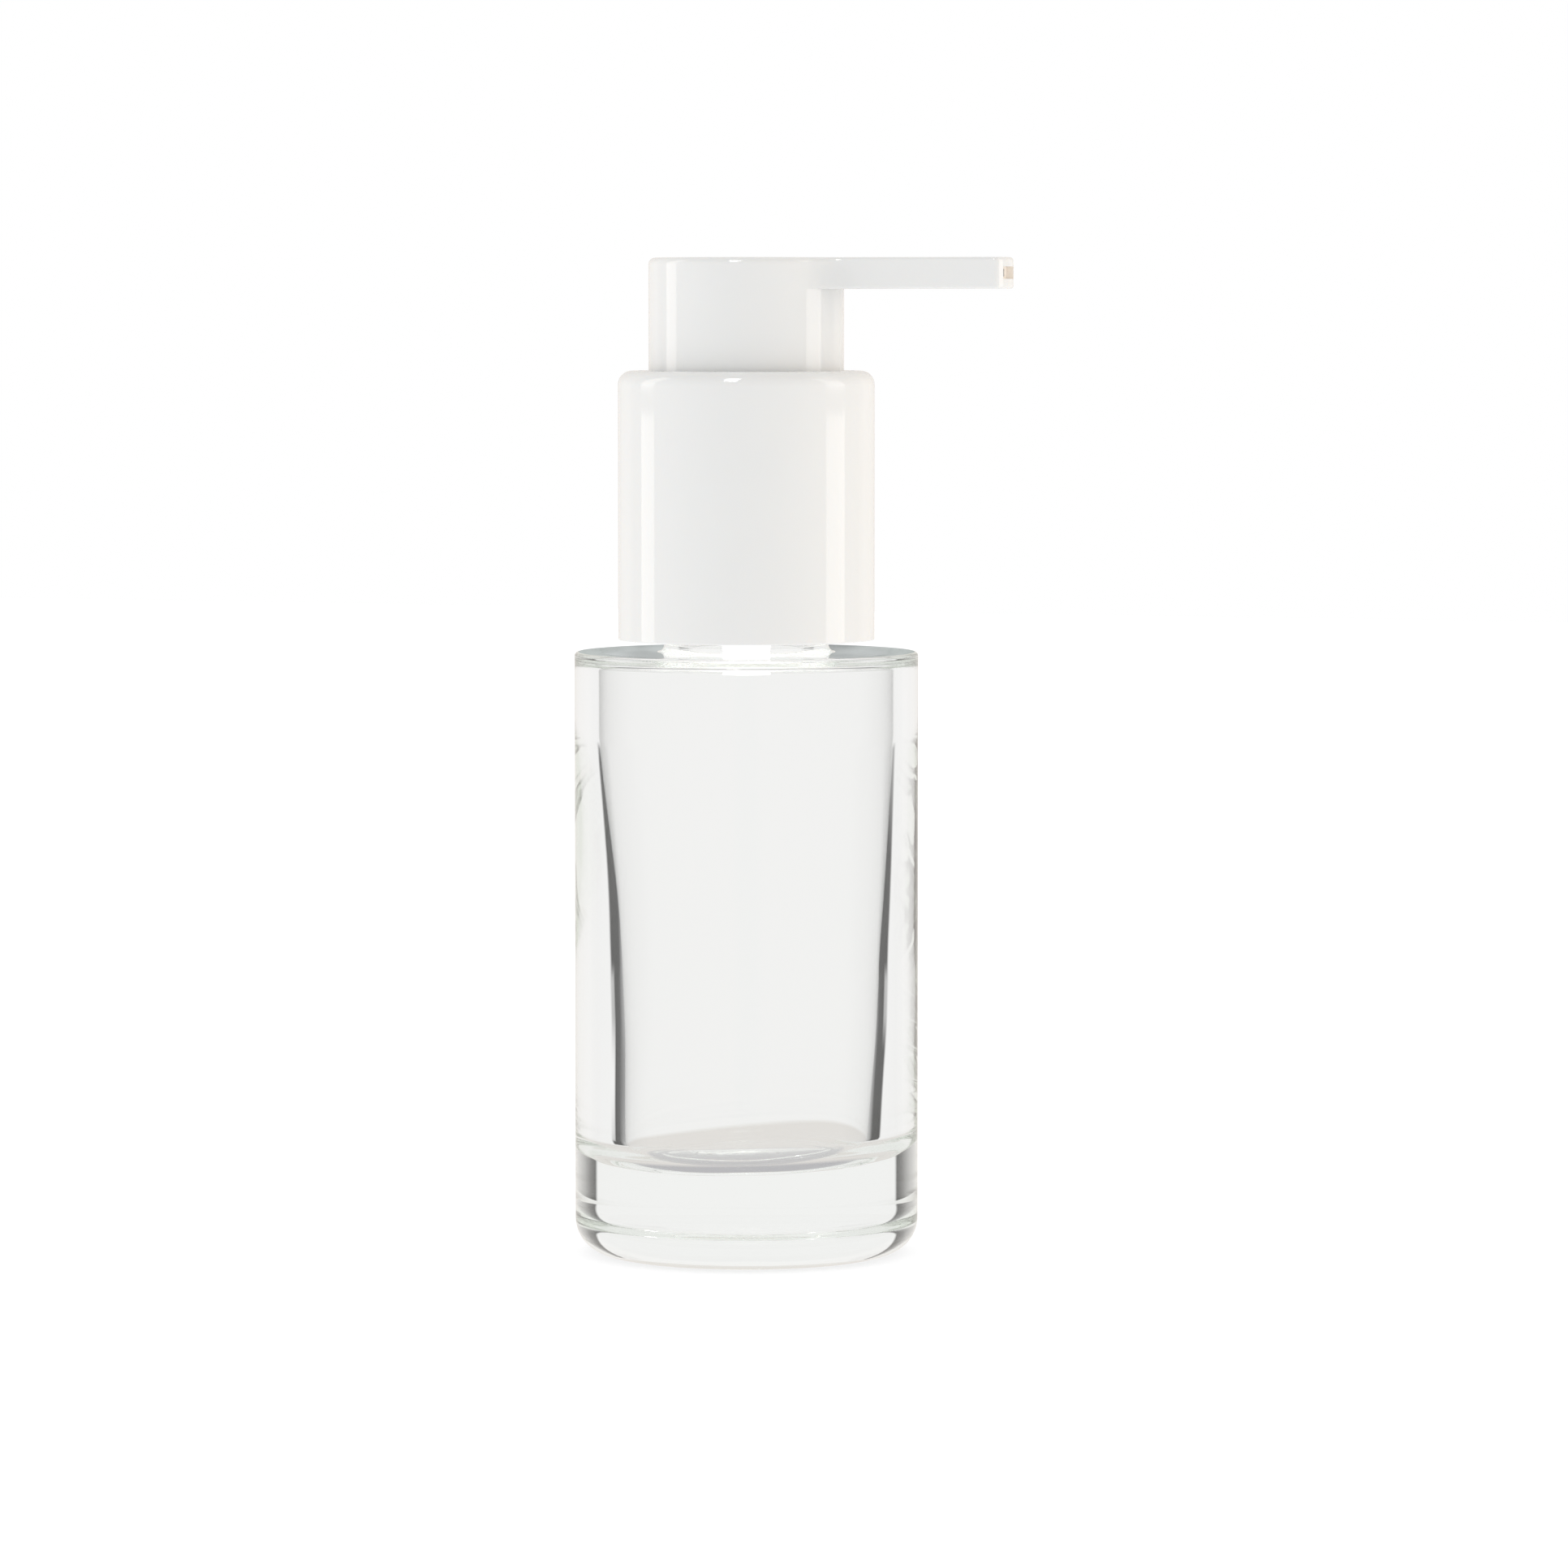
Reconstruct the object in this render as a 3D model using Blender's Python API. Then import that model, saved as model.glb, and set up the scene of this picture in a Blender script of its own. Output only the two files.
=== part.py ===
"""Foundation bottle: a thick-based clear glass cylinder with a 20/410 treatment pump.

The glass bottle carries a screw neck. A hidden threaded closure, dressed by a tall smooth collar,
clamps the pump housing and a gasket onto the neck. The actuator slides into the collar's top and
turns freely; its flat spout points along +X. Above the closure a return spring stands between the
turret and the actuator's socket. Below it, in the neck, a sliding piston, a ball valve and a dip
tube lift the product.

Units are metres, +Z is up and the origin is the centre of the bottle's base. Every joint axis is
the Z axis, so heights are absolute and each piece's origin is the world origin.
"""

import math

import bmesh
import bpy
from mathutils import Matrix, Vector

MM = 0.001
FACE_GAP = 0.2 * MM  # between pieces that rest on each other
ROUND_GAP = 0.3 * MM  # radial, between a piece and the one around it

# Glass bottle
BOTTLE_RADIUS = 18.5 * MM
SHOULDER_Z = 65.0 * MM
HEEL_ROUND = 3.8 * MM
SHOULDER_ROUND = 0.4 * MM
CAVITY_FLOOR_Z = 10.0 * MM
CAVITY_FLOOR_RADIUS = 13.0 * MM
CAVITY_CORNER_ROUND = 3.2 * MM
CAVITY_WAIST_Z = 33.5 * MM
CAVITY_WAIST_RADIUS = 13.9 * MM
CAVITY_FLARE_Z = 52.5 * MM
CAVITY_FLARE_ROUND = 60 * MM
CAVITY_TOP_RADIUS = 16.0 * MM
CAVITY_TOP_Z = 63.8 * MM
CAVITY_VAULT_ROUND = 1.2 * MM
BORE_RADIUS = 6.3 * MM
BORE_THROAT_ROUND = 0.7 * MM

# Screw neck, 20/410 finish
NECK_HEIGHT = 13.8 * MM
NECK_TOP_Z = SHOULDER_Z + NECK_HEIGHT
NECK_ROOT_RADIUS = 8.85 * MM
NECK_ROOT_FILLET = 0.8 * MM
LIP_OUTER_ROUND = 0.4 * MM
LIP_INNER_ROUND = 0.3 * MM
THREAD_DEPTH = 0.9 * MM
THREAD_PITCH = 3.175 * MM
THREAD_TURNS = 1.5
THREAD_ROOT_WIDTH = 1.8 * MM
THREAD_CREST_WIDTH = 0.9 * MM
NECK_THREAD_TOP_Z = NECK_TOP_Z - 1.8 * MM

# Closure and its outer collar
COLLAR_RADIUS = 13.8 * MM
COLLAR_WALL = 1.2 * MM
COLLAR_BOTTOM_Z = SHOULDER_Z + 1.3 * MM
COLLAR_TOP_Z = COLLAR_BOTTOM_Z + 28.9 * MM
COLLAR_EDGE_ROUND = 1.5 * MM
COLLAR_MOUTH_RADIUS = 10.85 * MM
COLLAR_MOUTH_ROUND = 0.35 * MM
COLLAR_FOOT_ROUND = 0.3 * MM
COLLAR_ROOF = 1.5 * MM
COLLAR_LEDGE_WIDTH = 1.3 * MM
COLLAR_LEDGE_THICKNESS = 1.0 * MM
CLOSURE_BOTTOM_Z = SHOULDER_Z + 2.0 * MM
CLOSURE_RADIUS = 11.5 * MM
CLOSURE_RIB_RADIUS = COLLAR_RADIUS - COLLAR_WALL - ROUND_GAP
CLOSURE_ROOT_RADIUS = NECK_ROOT_RADIUS + THREAD_DEPTH + ROUND_GAP
CLOSURE_THREAD_DEPTH = 0.95 * MM
CLOSURE_THREAD_ROOT_WIDTH = 1.5 * MM
CLOSURE_THREAD_CREST_WIDTH = 0.7 * MM
CLOSURE_PLATE = 1.2 * MM

# Pump: gasket, housing flange and closure plate are stacked on the neck
GASKET_Z = NECK_TOP_Z + FACE_GAP
GASKET_THICKNESS = 0.8 * MM
FLANGE_Z = GASKET_Z + GASKET_THICKNESS + FACE_GAP
FLANGE_THICKNESS = 1.2 * MM
FLANGE_RADIUS = 8.7 * MM
CLOSURE_PLATE_Z = FLANGE_Z + FLANGE_THICKNESS + FACE_GAP
CLOSURE_TOP_Z = CLOSURE_PLATE_Z + CLOSURE_PLATE
CHAMBER_RADIUS = 4.2 * MM
CHAMBER_WALL = 1.2 * MM
CHAMBER_OUTER_RADIUS = CHAMBER_RADIUS + CHAMBER_WALL
CHAMBER_TOP_Z = CLOSURE_TOP_Z + 3.4 * MM
RETAINER_Z = 70.2 * MM
BALL_CONE_RADIUS = 3.4 * MM
BALL_CONE_TOP_Z = 69.4 * MM
PORT_RADIUS = 0.7 * MM
TUBE_SOCKET_TOP_Z = 66.0 * MM
TUBE_SOCKET_BOTTOM_Z = 62.8 * MM
TUBE_SOCKET_WALL = 0.9 * MM
TUBE_END_GAP = 0.1 * MM
TURRET_WALL = 1.6 * MM
TURRET_ROOF = 1.2 * MM
TURRET_HUB_DEPTH = 2.0 * MM
TURRET_RIM_HEIGHT = 0.8 * MM

# Moving pump pieces at rest
STEM_RADIUS = 2.5 * MM
STEM_BORE_RADIUS = 1.4 * MM
STEM_BOTTOM_Z = 80.8 * MM
PISTON_Z = 78.8 * MM
PISTON_LENGTH = 4.4 * MM
BALL_RADIUS = 1.25 * MM
SPRING_RADIUS = 4.2 * MM
SPRING_WIRE_RADIUS = 0.35 * MM
SPRING_TURNS = 6.0
SPRING_END_TURNS = 0.9
SPRING_CLOSED_PITCH = 2.3 * SPRING_WIRE_RADIUS

# Dip tube
DIP_TUBE_RADIUS = 1.5 * MM
DIP_TUBE_BORE_RADIUS = 1.0 * MM
DIP_TUBE_FLOOR_GAP = 1.0 * MM

# Actuator
HEAD_RADIUS = 10.5 * MM
HEAD_TOP_Z = COLLAR_TOP_Z + 12.1 * MM
HEAD_EDGE_ROUND = 0.8 * MM
HEAD_WALL = 1.2 * MM
HEAD_ROOF = 1.4 * MM
SKIRT_BOTTOM_Z = COLLAR_TOP_Z - 3.4 * MM
SOCKET_BOTTOM_Z = 97.6 * MM
SOCKET_RADIUS = 3.7 * MM
SOCKET_FLANGE_RADIUS = 5.2 * MM
SOCKET_FLANGE_THICKNESS = 1.0 * MM
SOCKET_FLANGE_TAPER = 0.6 * MM
SOCKET_TOP_DROP = 0.8 * MM  # below the spout's underside
ARM_HEIGHT = 3.35 * MM
ARM_ROOT_HALF_WIDTH = 3.8 * MM
ARM_TIP_HALF_WIDTH = 2.6 * MM
ARM_REACH = 29.9 * MM
ARM_TIP_ROUND = 5.0 * MM
ARM_BLEND_ROUND = 4.6 * MM
ARM_EDGE_ROUND = 0.4 * MM
CHANNEL_WIDTH = 3.5 * MM
CHANNEL_HEIGHT = 1.3 * MM
CHANNEL_Z = HEAD_TOP_Z - 1.65 * MM

# Facets round the axis
SEGMENTS_OUTER = 48
SEGMENTS_INNER = 32
THREAD_STEPS_PER_TURN = 36


def clear_scene():
    for obj in list(bpy.data.objects):
        bpy.data.objects.remove(obj, do_unlink=True)


def make_material(name, colour, roughness, metallic=0.0, transmission=0.0, ior=1.5):
    material = bpy.data.materials.new(name)
    material.use_nodes = True
    shader = material.node_tree.nodes["Principled BSDF"]
    shader.inputs["Base Color"].default_value = (*colour, 1.0)
    shader.inputs["Roughness"].default_value = roughness
    shader.inputs["Metallic"].default_value = metallic
    shader.inputs["Transmission Weight"].default_value = transmission
    shader.inputs["IOR"].default_value = ior
    return material


def add_object(name, mesh, material, parent):
    obj = bpy.data.objects.new(name, mesh)
    bpy.context.collection.objects.link(obj)
    mesh.materials.append(material)
    mesh.shade_smooth()
    mesh.set_sharp_from_angle(angle=math.radians(35))
    obj.parent = parent
    return obj


def add_axis(name, parent=None):
    """An empty on the Z axis, which carries the pieces of one moving group."""
    empty = bpy.data.objects.new(name, None)
    empty.empty_display_size = 10 * MM
    bpy.context.collection.objects.link(empty)
    empty.parent = parent
    return empty


def rounded(corners, steps=3):
    """Points (r, z) of an outline whose corners are (r, z) or (r, z, fillet radius)."""
    points = []
    count = len(corners)
    for index, corner in enumerate(corners):
        here = Vector(corner[:2])
        if len(corner) == 2:
            points.append(here)
            continue
        before = (Vector(corners[index - 1][:2]) - here).normalized()
        after = (Vector(corners[(index + 1) % count][:2]) - here).normalized()
        half_angle = before.angle(after) / 2
        reach = corner[2] / math.tan(half_angle)
        centre = here + (before + after).normalized() * corner[2] / math.sin(half_angle)
        start = here + before * reach - centre
        turn = start.angle_signed(here + after * reach - centre)
        for step in range(steps + 1):
            points.append(centre + Matrix.Rotation(-turn * step / steps, 2) @ start)
    return points


def turned(name, corners, segments, steps=3):
    """Mesh turned about Z from a closed outline in (r, z); its axis points are merged."""
    bm = bmesh.new()
    verts = [bm.verts.new((p.x, 0, p.y)) for p in rounded(corners, steps)]
    pairs = zip(verts, verts[1:] + verts[:1])
    edges = [bm.edges.new(pair) for pair in pairs if max(v.co.x for v in pair) > 0]
    bmesh.ops.spin(bm, geom=verts + edges, cent=(0, 0, 0), axis=(0, 0, 1), dvec=(0, 0, 0),
                   angle=math.tau, steps=segments, use_merge=True)
    bmesh.ops.remove_doubles(bm, verts=bm.verts, dist=1e-7)
    bmesh.ops.recalc_face_normals(bm, faces=bm.faces)
    mesh = bpy.data.meshes.new(name)
    bm.to_mesh(mesh)
    bm.free()
    return mesh


def box_mesh(name, low, high):
    bm = bmesh.new()
    size = Vector(high) - Vector(low)
    centre = (Vector(high) + Vector(low)) / 2
    bmesh.ops.create_cube(bm, size=1, matrix=Matrix.Translation(centre) @ Matrix.Diagonal(size).to_4x4())
    mesh = bpy.data.meshes.new(name)
    bm.to_mesh(mesh)
    bm.free()
    return mesh


def thread_ridge(name, base_radius, height, base_width, crest_width, top_z, turns):
    """Right-handed helical ridge of trapezoid section; a negative height points inward."""
    bm = bmesh.new()
    root_overlap = math.copysign(0.35 * MM, height)
    fade_steps = 3
    steps = round(turns * THREAD_STEPS_PER_TURN)
    sections = []
    for step in range(steps + 1):
        angle = math.tau * step / THREAD_STEPS_PER_TURN
        z = top_z - THREAD_PITCH * (turns - step / THREAD_STEPS_PER_TURN)
        grown = min(1.0, (min(step, steps - step) + 0.6) / fade_steps)
        inner = base_radius - root_overlap
        outer = base_radius + height * grown
        corners = [(inner, -base_width / 2), (outer, -crest_width / 2),
                   (outer, crest_width / 2), (inner, base_width / 2)]
        ring = [bm.verts.new((r * math.cos(angle), r * math.sin(angle), z + dz)) for r, dz in corners]
        sections.append(ring)
    for near, far in zip(sections, sections[1:]):
        for k in range(4):
            bm.faces.new((near[k], near[(k + 1) % 4], far[(k + 1) % 4], far[k]))
    bm.faces.new(sections[0])
    bm.faces.new(reversed(sections[-1]))
    bmesh.ops.triangulate(bm, faces=bm.faces)
    bmesh.ops.recalc_face_normals(bm, faces=bm.faces)
    mesh = bpy.data.meshes.new(name)
    bm.to_mesh(mesh)
    bm.free()
    return mesh


def combine(target, mesh, operation):
    """Boolean of target with a hidden guide object made from mesh."""
    guide = bpy.data.objects.new(mesh.name, mesh)
    bpy.context.collection.objects.link(guide)
    guide.hide_render = True
    guide.display_type = "WIRE"
    modifier = target.modifiers.new(mesh.name, "BOOLEAN")
    modifier.operation = operation
    modifier.object = guide


def glass_bottle(parent, glass):
    corners = [
        (0, 0), (BOTTLE_RADIUS, 0, HEEL_ROUND), (BOTTLE_RADIUS, SHOULDER_Z, SHOULDER_ROUND),
        (NECK_ROOT_RADIUS, SHOULDER_Z, NECK_ROOT_FILLET), (NECK_ROOT_RADIUS, NECK_TOP_Z, LIP_OUTER_ROUND),
        (BORE_RADIUS, NECK_TOP_Z, LIP_INNER_ROUND), (BORE_RADIUS, CAVITY_TOP_Z, BORE_THROAT_ROUND),
        (CAVITY_TOP_RADIUS, CAVITY_TOP_Z, CAVITY_VAULT_ROUND),
        (CAVITY_TOP_RADIUS, CAVITY_FLARE_Z, CAVITY_FLARE_ROUND),
        (CAVITY_WAIST_RADIUS, CAVITY_WAIST_Z, CAVITY_FLARE_ROUND),
        (CAVITY_FLOOR_RADIUS, CAVITY_FLOOR_Z, CAVITY_CORNER_ROUND), (0, CAVITY_FLOOR_Z),
    ]
    bottle = add_object("glass_bottle", turned("glass_bottle", corners, SEGMENTS_OUTER), glass, parent)
    ridge = thread_ridge("neck_thread", NECK_ROOT_RADIUS, THREAD_DEPTH, THREAD_ROOT_WIDTH,
                         THREAD_CREST_WIDTH, NECK_THREAD_TOP_Z, THREAD_TURNS)
    combine(bottle, ridge, "UNION")


def neck_gasket(parent, rubber):
    inner = BORE_RADIUS + 0.1 * MM
    outer = NECK_ROOT_RADIUS - 0.2 * MM
    top = GASKET_Z + GASKET_THICKNESS
    corners = [(inner, GASKET_Z), (outer, GASKET_Z), (outer, top), (inner, top)]
    add_object("neck_gasket", turned("neck_gasket", corners, SEGMENTS_INNER), rubber, parent)


def screw_closure(parent, plastic):
    """Inner cap with drive ribs outside and a thread inside."""
    hole = CHAMBER_OUTER_RADIUS + ROUND_GAP
    corners = [
        (CLOSURE_RADIUS, CLOSURE_BOTTOM_Z), (CLOSURE_RADIUS, CLOSURE_TOP_Z - CLOSURE_PLATE),
        (CLOSURE_RADIUS - CLOSURE_PLATE, CLOSURE_TOP_Z), (hole, CLOSURE_TOP_Z),
        (hole, CLOSURE_PLATE_Z), (CLOSURE_ROOT_RADIUS, CLOSURE_PLATE_Z),
        (CLOSURE_ROOT_RADIUS, CLOSURE_BOTTOM_Z),
    ]
    mesh = turned("screw_closure", corners, SEGMENTS_OUTER)
    for vertex in mesh.vertices:
        radius = vertex.co.xy.length
        column = round(math.atan2(vertex.co.y, vertex.co.x) / math.tau * SEGMENTS_OUTER)
        if radius > CLOSURE_RADIUS - 0.1 * MM and column % 2:
            vertex.co.xy *= CLOSURE_RIB_RADIUS / radius
    closure = add_object("screw_closure", mesh, plastic, parent)
    top_z = NECK_THREAD_TOP_Z - THREAD_PITCH / 2
    ridge = thread_ridge("closure_thread", CLOSURE_ROOT_RADIUS, -CLOSURE_THREAD_DEPTH,
                         CLOSURE_THREAD_ROOT_WIDTH, CLOSURE_THREAD_CREST_WIDTH, top_z, THREAD_TURNS)
    combine(closure, ridge, "UNION")


def collar_shell(parent, plastic):
    """Smooth outer collar with a mouth for the actuator and a ledge over the closure."""
    inner = COLLAR_RADIUS - COLLAR_WALL
    ledge_low_z = CLOSURE_TOP_Z + FACE_GAP
    ledge_high_z = ledge_low_z + COLLAR_LEDGE_THICKNESS
    ledge_radius = inner - COLLAR_LEDGE_WIDTH
    roof_z = COLLAR_TOP_Z - COLLAR_ROOF
    corners = [
        (inner, COLLAR_BOTTOM_Z), (COLLAR_RADIUS, COLLAR_BOTTOM_Z, COLLAR_FOOT_ROUND),
        (COLLAR_RADIUS, COLLAR_TOP_Z, COLLAR_EDGE_ROUND),
        (COLLAR_MOUTH_RADIUS, COLLAR_TOP_Z, COLLAR_MOUTH_ROUND), (COLLAR_MOUTH_RADIUS, roof_z),
        (inner, roof_z), (inner, ledge_high_z), (ledge_radius, ledge_high_z), (ledge_radius, ledge_low_z),
        (inner, ledge_low_z),
    ]
    add_object("collar_shell", turned("collar_shell", corners, SEGMENTS_OUTER), plastic, parent)


def pump_housing(parent, plastic):
    """Chamber tube with its clamping flange, ball seat and dip tube socket."""
    socket_bore = DIP_TUBE_RADIUS + FACE_GAP
    socket_outer = socket_bore + TUBE_SOCKET_WALL
    taper_top_z = BALL_CONE_TOP_Z - 0.6 * MM
    ledge_z = RETAINER_Z - FACE_GAP
    corners = [
        (socket_outer, TUBE_SOCKET_BOTTOM_Z), (socket_outer, TUBE_SOCKET_TOP_Z),
        (CHAMBER_OUTER_RADIUS, taper_top_z), (CHAMBER_OUTER_RADIUS, FLANGE_Z),
        (FLANGE_RADIUS, FLANGE_Z), (FLANGE_RADIUS, FLANGE_Z + FLANGE_THICKNESS),
        (CHAMBER_OUTER_RADIUS, FLANGE_Z + FLANGE_THICKNESS), (CHAMBER_OUTER_RADIUS, CHAMBER_TOP_Z),
        (CHAMBER_RADIUS, CHAMBER_TOP_Z), (CHAMBER_RADIUS, ledge_z), (BALL_CONE_RADIUS, ledge_z),
        (BALL_CONE_RADIUS, BALL_CONE_TOP_Z),
        (PORT_RADIUS, BALL_CONE_TOP_Z - (BALL_CONE_RADIUS - PORT_RADIUS)),
        (PORT_RADIUS, TUBE_SOCKET_TOP_Z - TUBE_END_GAP), (socket_bore, TUBE_SOCKET_TOP_Z - TUBE_END_GAP),
        (socket_bore, TUBE_SOCKET_BOTTOM_Z),
    ]
    add_object("pump_housing", turned("pump_housing", corners, SEGMENTS_INNER), plastic, parent)


def turret(parent, plastic):
    """Cap that locks on the chamber tube, guides the stem and seats the spring."""
    skirt_inner = CHAMBER_OUTER_RADIUS + ROUND_GAP
    skirt_outer = skirt_inner + TURRET_WALL
    hub_outer = CHAMBER_RADIUS - ROUND_GAP
    guide = STEM_RADIUS + ROUND_GAP
    bottom_z = CLOSURE_TOP_Z + FACE_GAP
    plate_z = CHAMBER_TOP_Z + FACE_GAP
    hub_bottom_z = plate_z - TURRET_HUB_DEPTH
    top_z = turret_top_z()
    rim_inner = SPRING_RADIUS + SPRING_WIRE_RADIUS + ROUND_GAP
    corners = [
        (skirt_inner, bottom_z), (skirt_outer, bottom_z), (skirt_outer, top_z, 0.5 * MM),
        (rim_inner + 0.8 * MM, top_z), (rim_inner + 0.6 * MM, top_z + TURRET_RIM_HEIGHT),
        (rim_inner, top_z + TURRET_RIM_HEIGHT), (rim_inner, top_z), (guide, top_z),
        (guide, hub_bottom_z), (hub_outer, hub_bottom_z), (hub_outer, plate_z),
        (skirt_inner, plate_z),
    ]
    add_object("turret", turned("turret", corners, SEGMENTS_INNER), plastic, parent)


def turret_top_z():
    return CHAMBER_TOP_Z + FACE_GAP + TURRET_ROOF


def return_spring(parent, steel):
    """Compression spring with a closed coil at each end."""
    low_z = turret_top_z() + FACE_GAP + SPRING_WIRE_RADIUS
    high_z = SOCKET_BOTTOM_Z - FACE_GAP - SPRING_WIRE_RADIUS
    end_rise = SPRING_END_TURNS * SPRING_CLOSED_PITCH
    steps_per_turn = 16
    steps = round(SPRING_TURNS * steps_per_turn)
    curve = bpy.data.curves.new("return_spring", "CURVE")
    curve.dimensions = "3D"
    curve.bevel_depth = SPRING_WIRE_RADIUS
    curve.bevel_resolution = 1
    curve.use_fill_caps = True
    spline = curve.splines.new("POLY")
    spline.points.add(steps)
    for step in range(steps + 1):
        turns = step / steps_per_turn
        active = (turns - SPRING_END_TURNS) / (SPRING_TURNS - 2 * SPRING_END_TURNS)
        if active < 0:
            z = low_z + end_rise * turns / SPRING_END_TURNS
        elif active > 1:
            z = high_z - end_rise * (SPRING_TURNS - turns) / SPRING_END_TURNS
        else:
            z = low_z + end_rise + active * (high_z - low_z - 2 * end_rise)
        angle = math.tau * turns
        x = SPRING_RADIUS * math.cos(angle)
        y = SPRING_RADIUS * math.sin(angle)
        spline.points[step].co = (x, y, z, 1)
    curve.materials.append(steel)
    spring = bpy.data.objects.new("return_spring", curve)
    bpy.context.collection.objects.link(spring)
    spring.parent = parent


def stem(parent, plastic):
    top_z = HEAD_TOP_Z - ARM_HEIGHT - 1.0 * MM
    corners = [
        (STEM_BORE_RADIUS, STEM_BOTTOM_Z), (STEM_RADIUS, STEM_BOTTOM_Z, 0.3 * MM),
        (STEM_RADIUS, top_z, 0.3 * MM), (STEM_BORE_RADIUS, top_z),
    ]
    add_object("stem", turned("stem", corners, SEGMENTS_INNER), plastic, parent)


def piston_rod(parent, plastic):
    """Valve rod below the stem: its cone closes the piston, its square stud holds in the stem."""
    neck = 1.5 * MM
    cone_z = PISTON_Z - 0.2 * MM
    shoulder_z = STEM_BOTTOM_Z - FACE_GAP
    stud_half_side = 0.85 * MM
    corners = [
        (0, cone_z - 2.0 * MM), (3.2 * MM, cone_z - 2.0 * MM), (3.2 * MM, cone_z - 1.2 * MM),
        (neck, cone_z), (neck, shoulder_z), (0, shoulder_z),
    ]
    rod = add_object("piston_rod", turned("piston_rod", corners, SEGMENTS_INNER), plastic, parent)
    stud = box_mesh("rod_stud", (-stud_half_side, -stud_half_side, shoulder_z - 1.0 * MM),
                    (stud_half_side, stud_half_side, shoulder_z + 6.0 * MM))
    combine(rod, stud, "UNION")


def piston(parent, plastic):
    """Sliding piston with two flared wiping lips."""
    lip = CHAMBER_RADIUS - 0.2 * MM
    waist = lip - 0.5 * MM
    sleeve = STEM_RADIUS + ROUND_GAP
    seat = 2.1 * MM
    top_z = PISTON_Z + PISTON_LENGTH
    corners = [
        (seat, PISTON_Z), (waist - 0.6 * MM, PISTON_Z), (lip, PISTON_Z - 0.3 * MM),
        (lip, PISTON_Z + 0.4 * MM), (waist, PISTON_Z + 1.2 * MM), (waist, top_z - 1.2 * MM),
        (lip, top_z - 0.4 * MM), (lip, top_z), (sleeve, top_z), (sleeve, PISTON_Z + 1.0 * MM),
        (seat, PISTON_Z + 1.0 * MM),
    ]
    add_object("piston", turned("piston", corners, SEGMENTS_INNER), plastic, parent)


def inlet_ball(parent, steel):
    """Ball resting just above the 45 degree seat cone."""
    cone_tip_z = BALL_CONE_TOP_Z - BALL_CONE_RADIUS
    centre_z = cone_tip_z + BALL_RADIUS * math.sqrt(2) + 0.1 * MM
    bm = bmesh.new()
    bmesh.ops.create_uvsphere(bm, u_segments=16, v_segments=10, radius=BALL_RADIUS,
                              matrix=Matrix.Translation((0, 0, centre_z)))
    mesh = bpy.data.meshes.new("inlet_ball")
    bm.to_mesh(mesh)
    bm.free()
    add_object("inlet_ball", mesh, steel, parent)


def ball_retainer(parent, plastic):
    """Ring with a cross bar that keeps the ball near its seat."""
    ring_outer = CHAMBER_RADIUS - FACE_GAP
    ring_inner = ring_outer - 1.0 * MM
    top_z = RETAINER_Z + 1.0 * MM
    corners = [(ring_inner, RETAINER_Z), (ring_outer, RETAINER_Z), (ring_outer, top_z), (ring_inner, top_z)]
    mesh = turned("ball_retainer", corners, SEGMENTS_INNER)
    retainer = add_object("ball_retainer", mesh, plastic, parent)
    half_length = ring_inner + 0.4 * MM
    half_width = 0.45 * MM
    low_z = RETAINER_Z + 0.1 * MM
    high_z = RETAINER_Z + 0.8 * MM
    bar_x = box_mesh("retainer_bar_x", (-half_length, -half_width, low_z),
                     (half_length, half_width, high_z))
    bar_y = box_mesh("retainer_bar_y", (-half_width, -half_length, low_z),
                     (half_width, half_length, high_z))
    combine(retainer, bar_x, "UNION")
    combine(retainer, bar_y, "UNION")


def dip_tube(parent, plastic):
    bottom_z = CAVITY_FLOOR_Z + DIP_TUBE_FLOOR_GAP
    top_z = TUBE_SOCKET_TOP_Z - TUBE_END_GAP - FACE_GAP
    corners = [
        (DIP_TUBE_BORE_RADIUS, bottom_z), (DIP_TUBE_RADIUS, bottom_z),
        (DIP_TUBE_RADIUS, top_z), (DIP_TUBE_BORE_RADIUS, top_z),
    ]
    add_object("dip_tube", turned("dip_tube", corners, 16), plastic, parent)


def arm_outline():
    """One side of the spout in plan, from the head's wall to the tip, for y > 0.

    A fillet joins the head's circle to the tapering side, and the tip is a shallow arc.
    """
    root = Vector((0, ARM_ROOT_HALF_WIDTH))
    tip = Vector((ARM_REACH, ARM_TIP_HALF_WIDTH))
    along = (tip - root).normalized()
    normal = Vector((-along.y, along.x))
    offset = root.dot(normal) + ARM_BLEND_ROUND
    reach = math.sqrt((HEAD_RADIUS + ARM_BLEND_ROUND) ** 2 - offset ** 2)
    centre = normal * offset + along * reach
    start = -centre.normalized() * ARM_BLEND_ROUND
    turn = start.angle_signed(-normal)
    steps = 4
    points = [centre + Matrix.Rotation(-turn * k / steps, 2) @ start for k in range(steps + 1)]
    tip_centre_x = ARM_REACH - ARM_TIP_ROUND
    end_angle = math.asin((ARM_TIP_HALF_WIDTH - 0.2 * MM) / ARM_TIP_ROUND)
    for k in range(steps + 1):
        angle = end_angle * (1 - k / steps)
        along = tip_centre_x + ARM_TIP_ROUND * math.cos(angle)
        points.append(Vector((along, ARM_TIP_ROUND * math.sin(angle))))
    return points


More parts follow.
